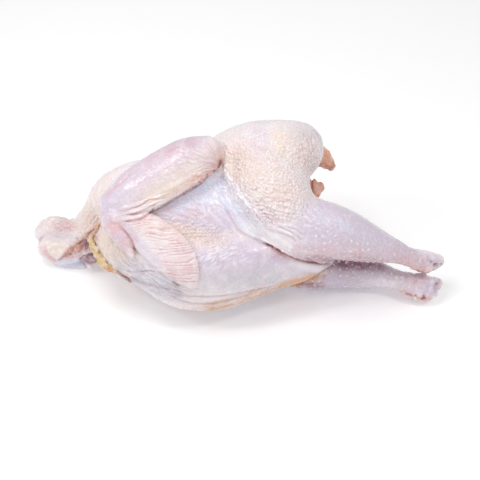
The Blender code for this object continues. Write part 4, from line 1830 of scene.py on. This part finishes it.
def soft_lamp(name, place, sides, power, aim):
    """A rectangular lamp that points at aim."""
    light = bpy.data.lights.new(name, "AREA")
    light.shape = "RECTANGLE"
    light.size, light.size_y = sides
    light.energy = power
    lamp = bpy.data.objects.new(name, light)
    lamp.location = place
    lamp.rotation_euler = (lamp.location - aim).to_track_quat("Z", "Y").to_euler()
    bpy.context.scene.collection.objects.link(lamp)


class ROOSTER_OT_stage(bpy.types.Operator):
    """Makes the floor, the lights and the camera at the photograph's angle"""

    bl_idname = "rooster.stage"
    bl_label = "Stage"

    def execute(self, context):
        studio = context.scene.rooster_studio
        scene = context.scene
        mesh = bpy.data.meshes.new("floor")
        bm = bmesh.new()
        bmesh.ops.create_grid(bm, x_segments=1, y_segments=1, size=FLOOR_REACH)
        bm.to_mesh(mesh)
        bm.free()
        floor = bpy.data.objects.new("floor", mesh)
        scene.collection.objects.link(floor)
        material = new_material("matte_white_paint")
        surface = add_node(
            material.node_tree, "ShaderNodeBsdfPrincipled", {},
            {
                "Base Color": rgba(studio.floor),
                "Roughness": 0.9,
                "Specular IOR Level": 0.1,
                "Emission Color": rgba(studio.floor),
                "Emission Strength": studio.glow,
            },
        )
        add_node(material.node_tree, "ShaderNodeOutputMaterial", {}, {"Surface": surface}, None)
        mesh.materials.append(material)

        aim = TO_FRAME @ Vector((0, EYE_UP * MM, 0))
        back = TO_FRAME.to_3x3() @ Vector((0, 0, 1))
        camera = bpy.data.objects.new("camera", bpy.data.cameras.new("camera"))
        camera.data.lens = studio.lens
        camera.data.sensor_width = SENSOR_WIDTH
        camera.location = aim + back * EYE_NEAR * MM
        camera.rotation_euler = back.to_track_quat("Z", "Y").to_euler()
        scene.collection.objects.link(camera)
        scene.camera = camera

        soft_lamp("key", KEY_PLACE, KEY_SIDES, studio.key, aim)
        for number, place in enumerate(GLINT_PLACES):
            soft_lamp(f"glint_{number}", place, GLINT_SIDES, studio.glint, aim)

        world = bpy.data.worlds.new("studio")
        scene.world = world
        world.use_nodes = True
        sky = world.node_tree.nodes["Background"]
        sky.inputs["Color"].default_value = (1, 1, 1, 1)
        sky.inputs["Strength"].default_value = studio.fill
        scene.view_settings.view_transform = "Standard"
        return {"FINISHED"}


class ROOSTER_PT_panel(bpy.types.Panel):
    """Lists the rooster's pieces, sizes and colours"""

    bl_label = "Rooster"
    bl_idname = "ROOSTER_PT_panel"
    bl_space_type = "VIEW_3D"
    bl_region_type = "UI"
    bl_category = "Rooster"

    def draw(self, context):
        for operator in OPERATORS:
            self.layout.operator(operator.bl_idname)
        for held in GROUPS:
            group = getattr(context.scene, held)
            box = self.layout.box()
            for name in group.__annotations__:
                box.prop(group, name)


OPERATORS = (
    ROOSTER_OT_body,
    ROOSTER_OT_follicles,
    ROOSTER_OT_parts,
    ROOSTER_OT_wings,
    ROOSTER_OT_ends,
    ROOSTER_OT_stage,
)
GROUPS = {
    "rooster_sizes": RoosterSizes,
    "rooster_colours": RoosterColours,
    "rooster_studio": RoosterStudio,
}


def register():
    """Makes the operators, the panel and the scene's three groups of values known."""
    for each in (*GROUPS.values(), *OPERATORS, ROOSTER_PT_panel):
        bpy.utils.register_class(each)
    for name, group in GROUPS.items():
        setattr(bpy.types.Scene, name, PointerProperty(type=group))


def unregister():
    """Takes back what register did."""
    for name in GROUPS:
        delattr(bpy.types.Scene, name)
    for each in (ROOSTER_PT_panel, *OPERATORS, *GROUPS.values()):
        bpy.utils.unregister_class(each)


def main():
    """Makes every piece and the stage."""
    register()
    bpy.ops.rooster.body()
    bpy.ops.rooster.follicles()
    bpy.ops.rooster.parts()
    bpy.ops.rooster.wings()
    bpy.ops.rooster.ends()
    bpy.ops.rooster.stage()


if __name__ == "__main__":
    main()
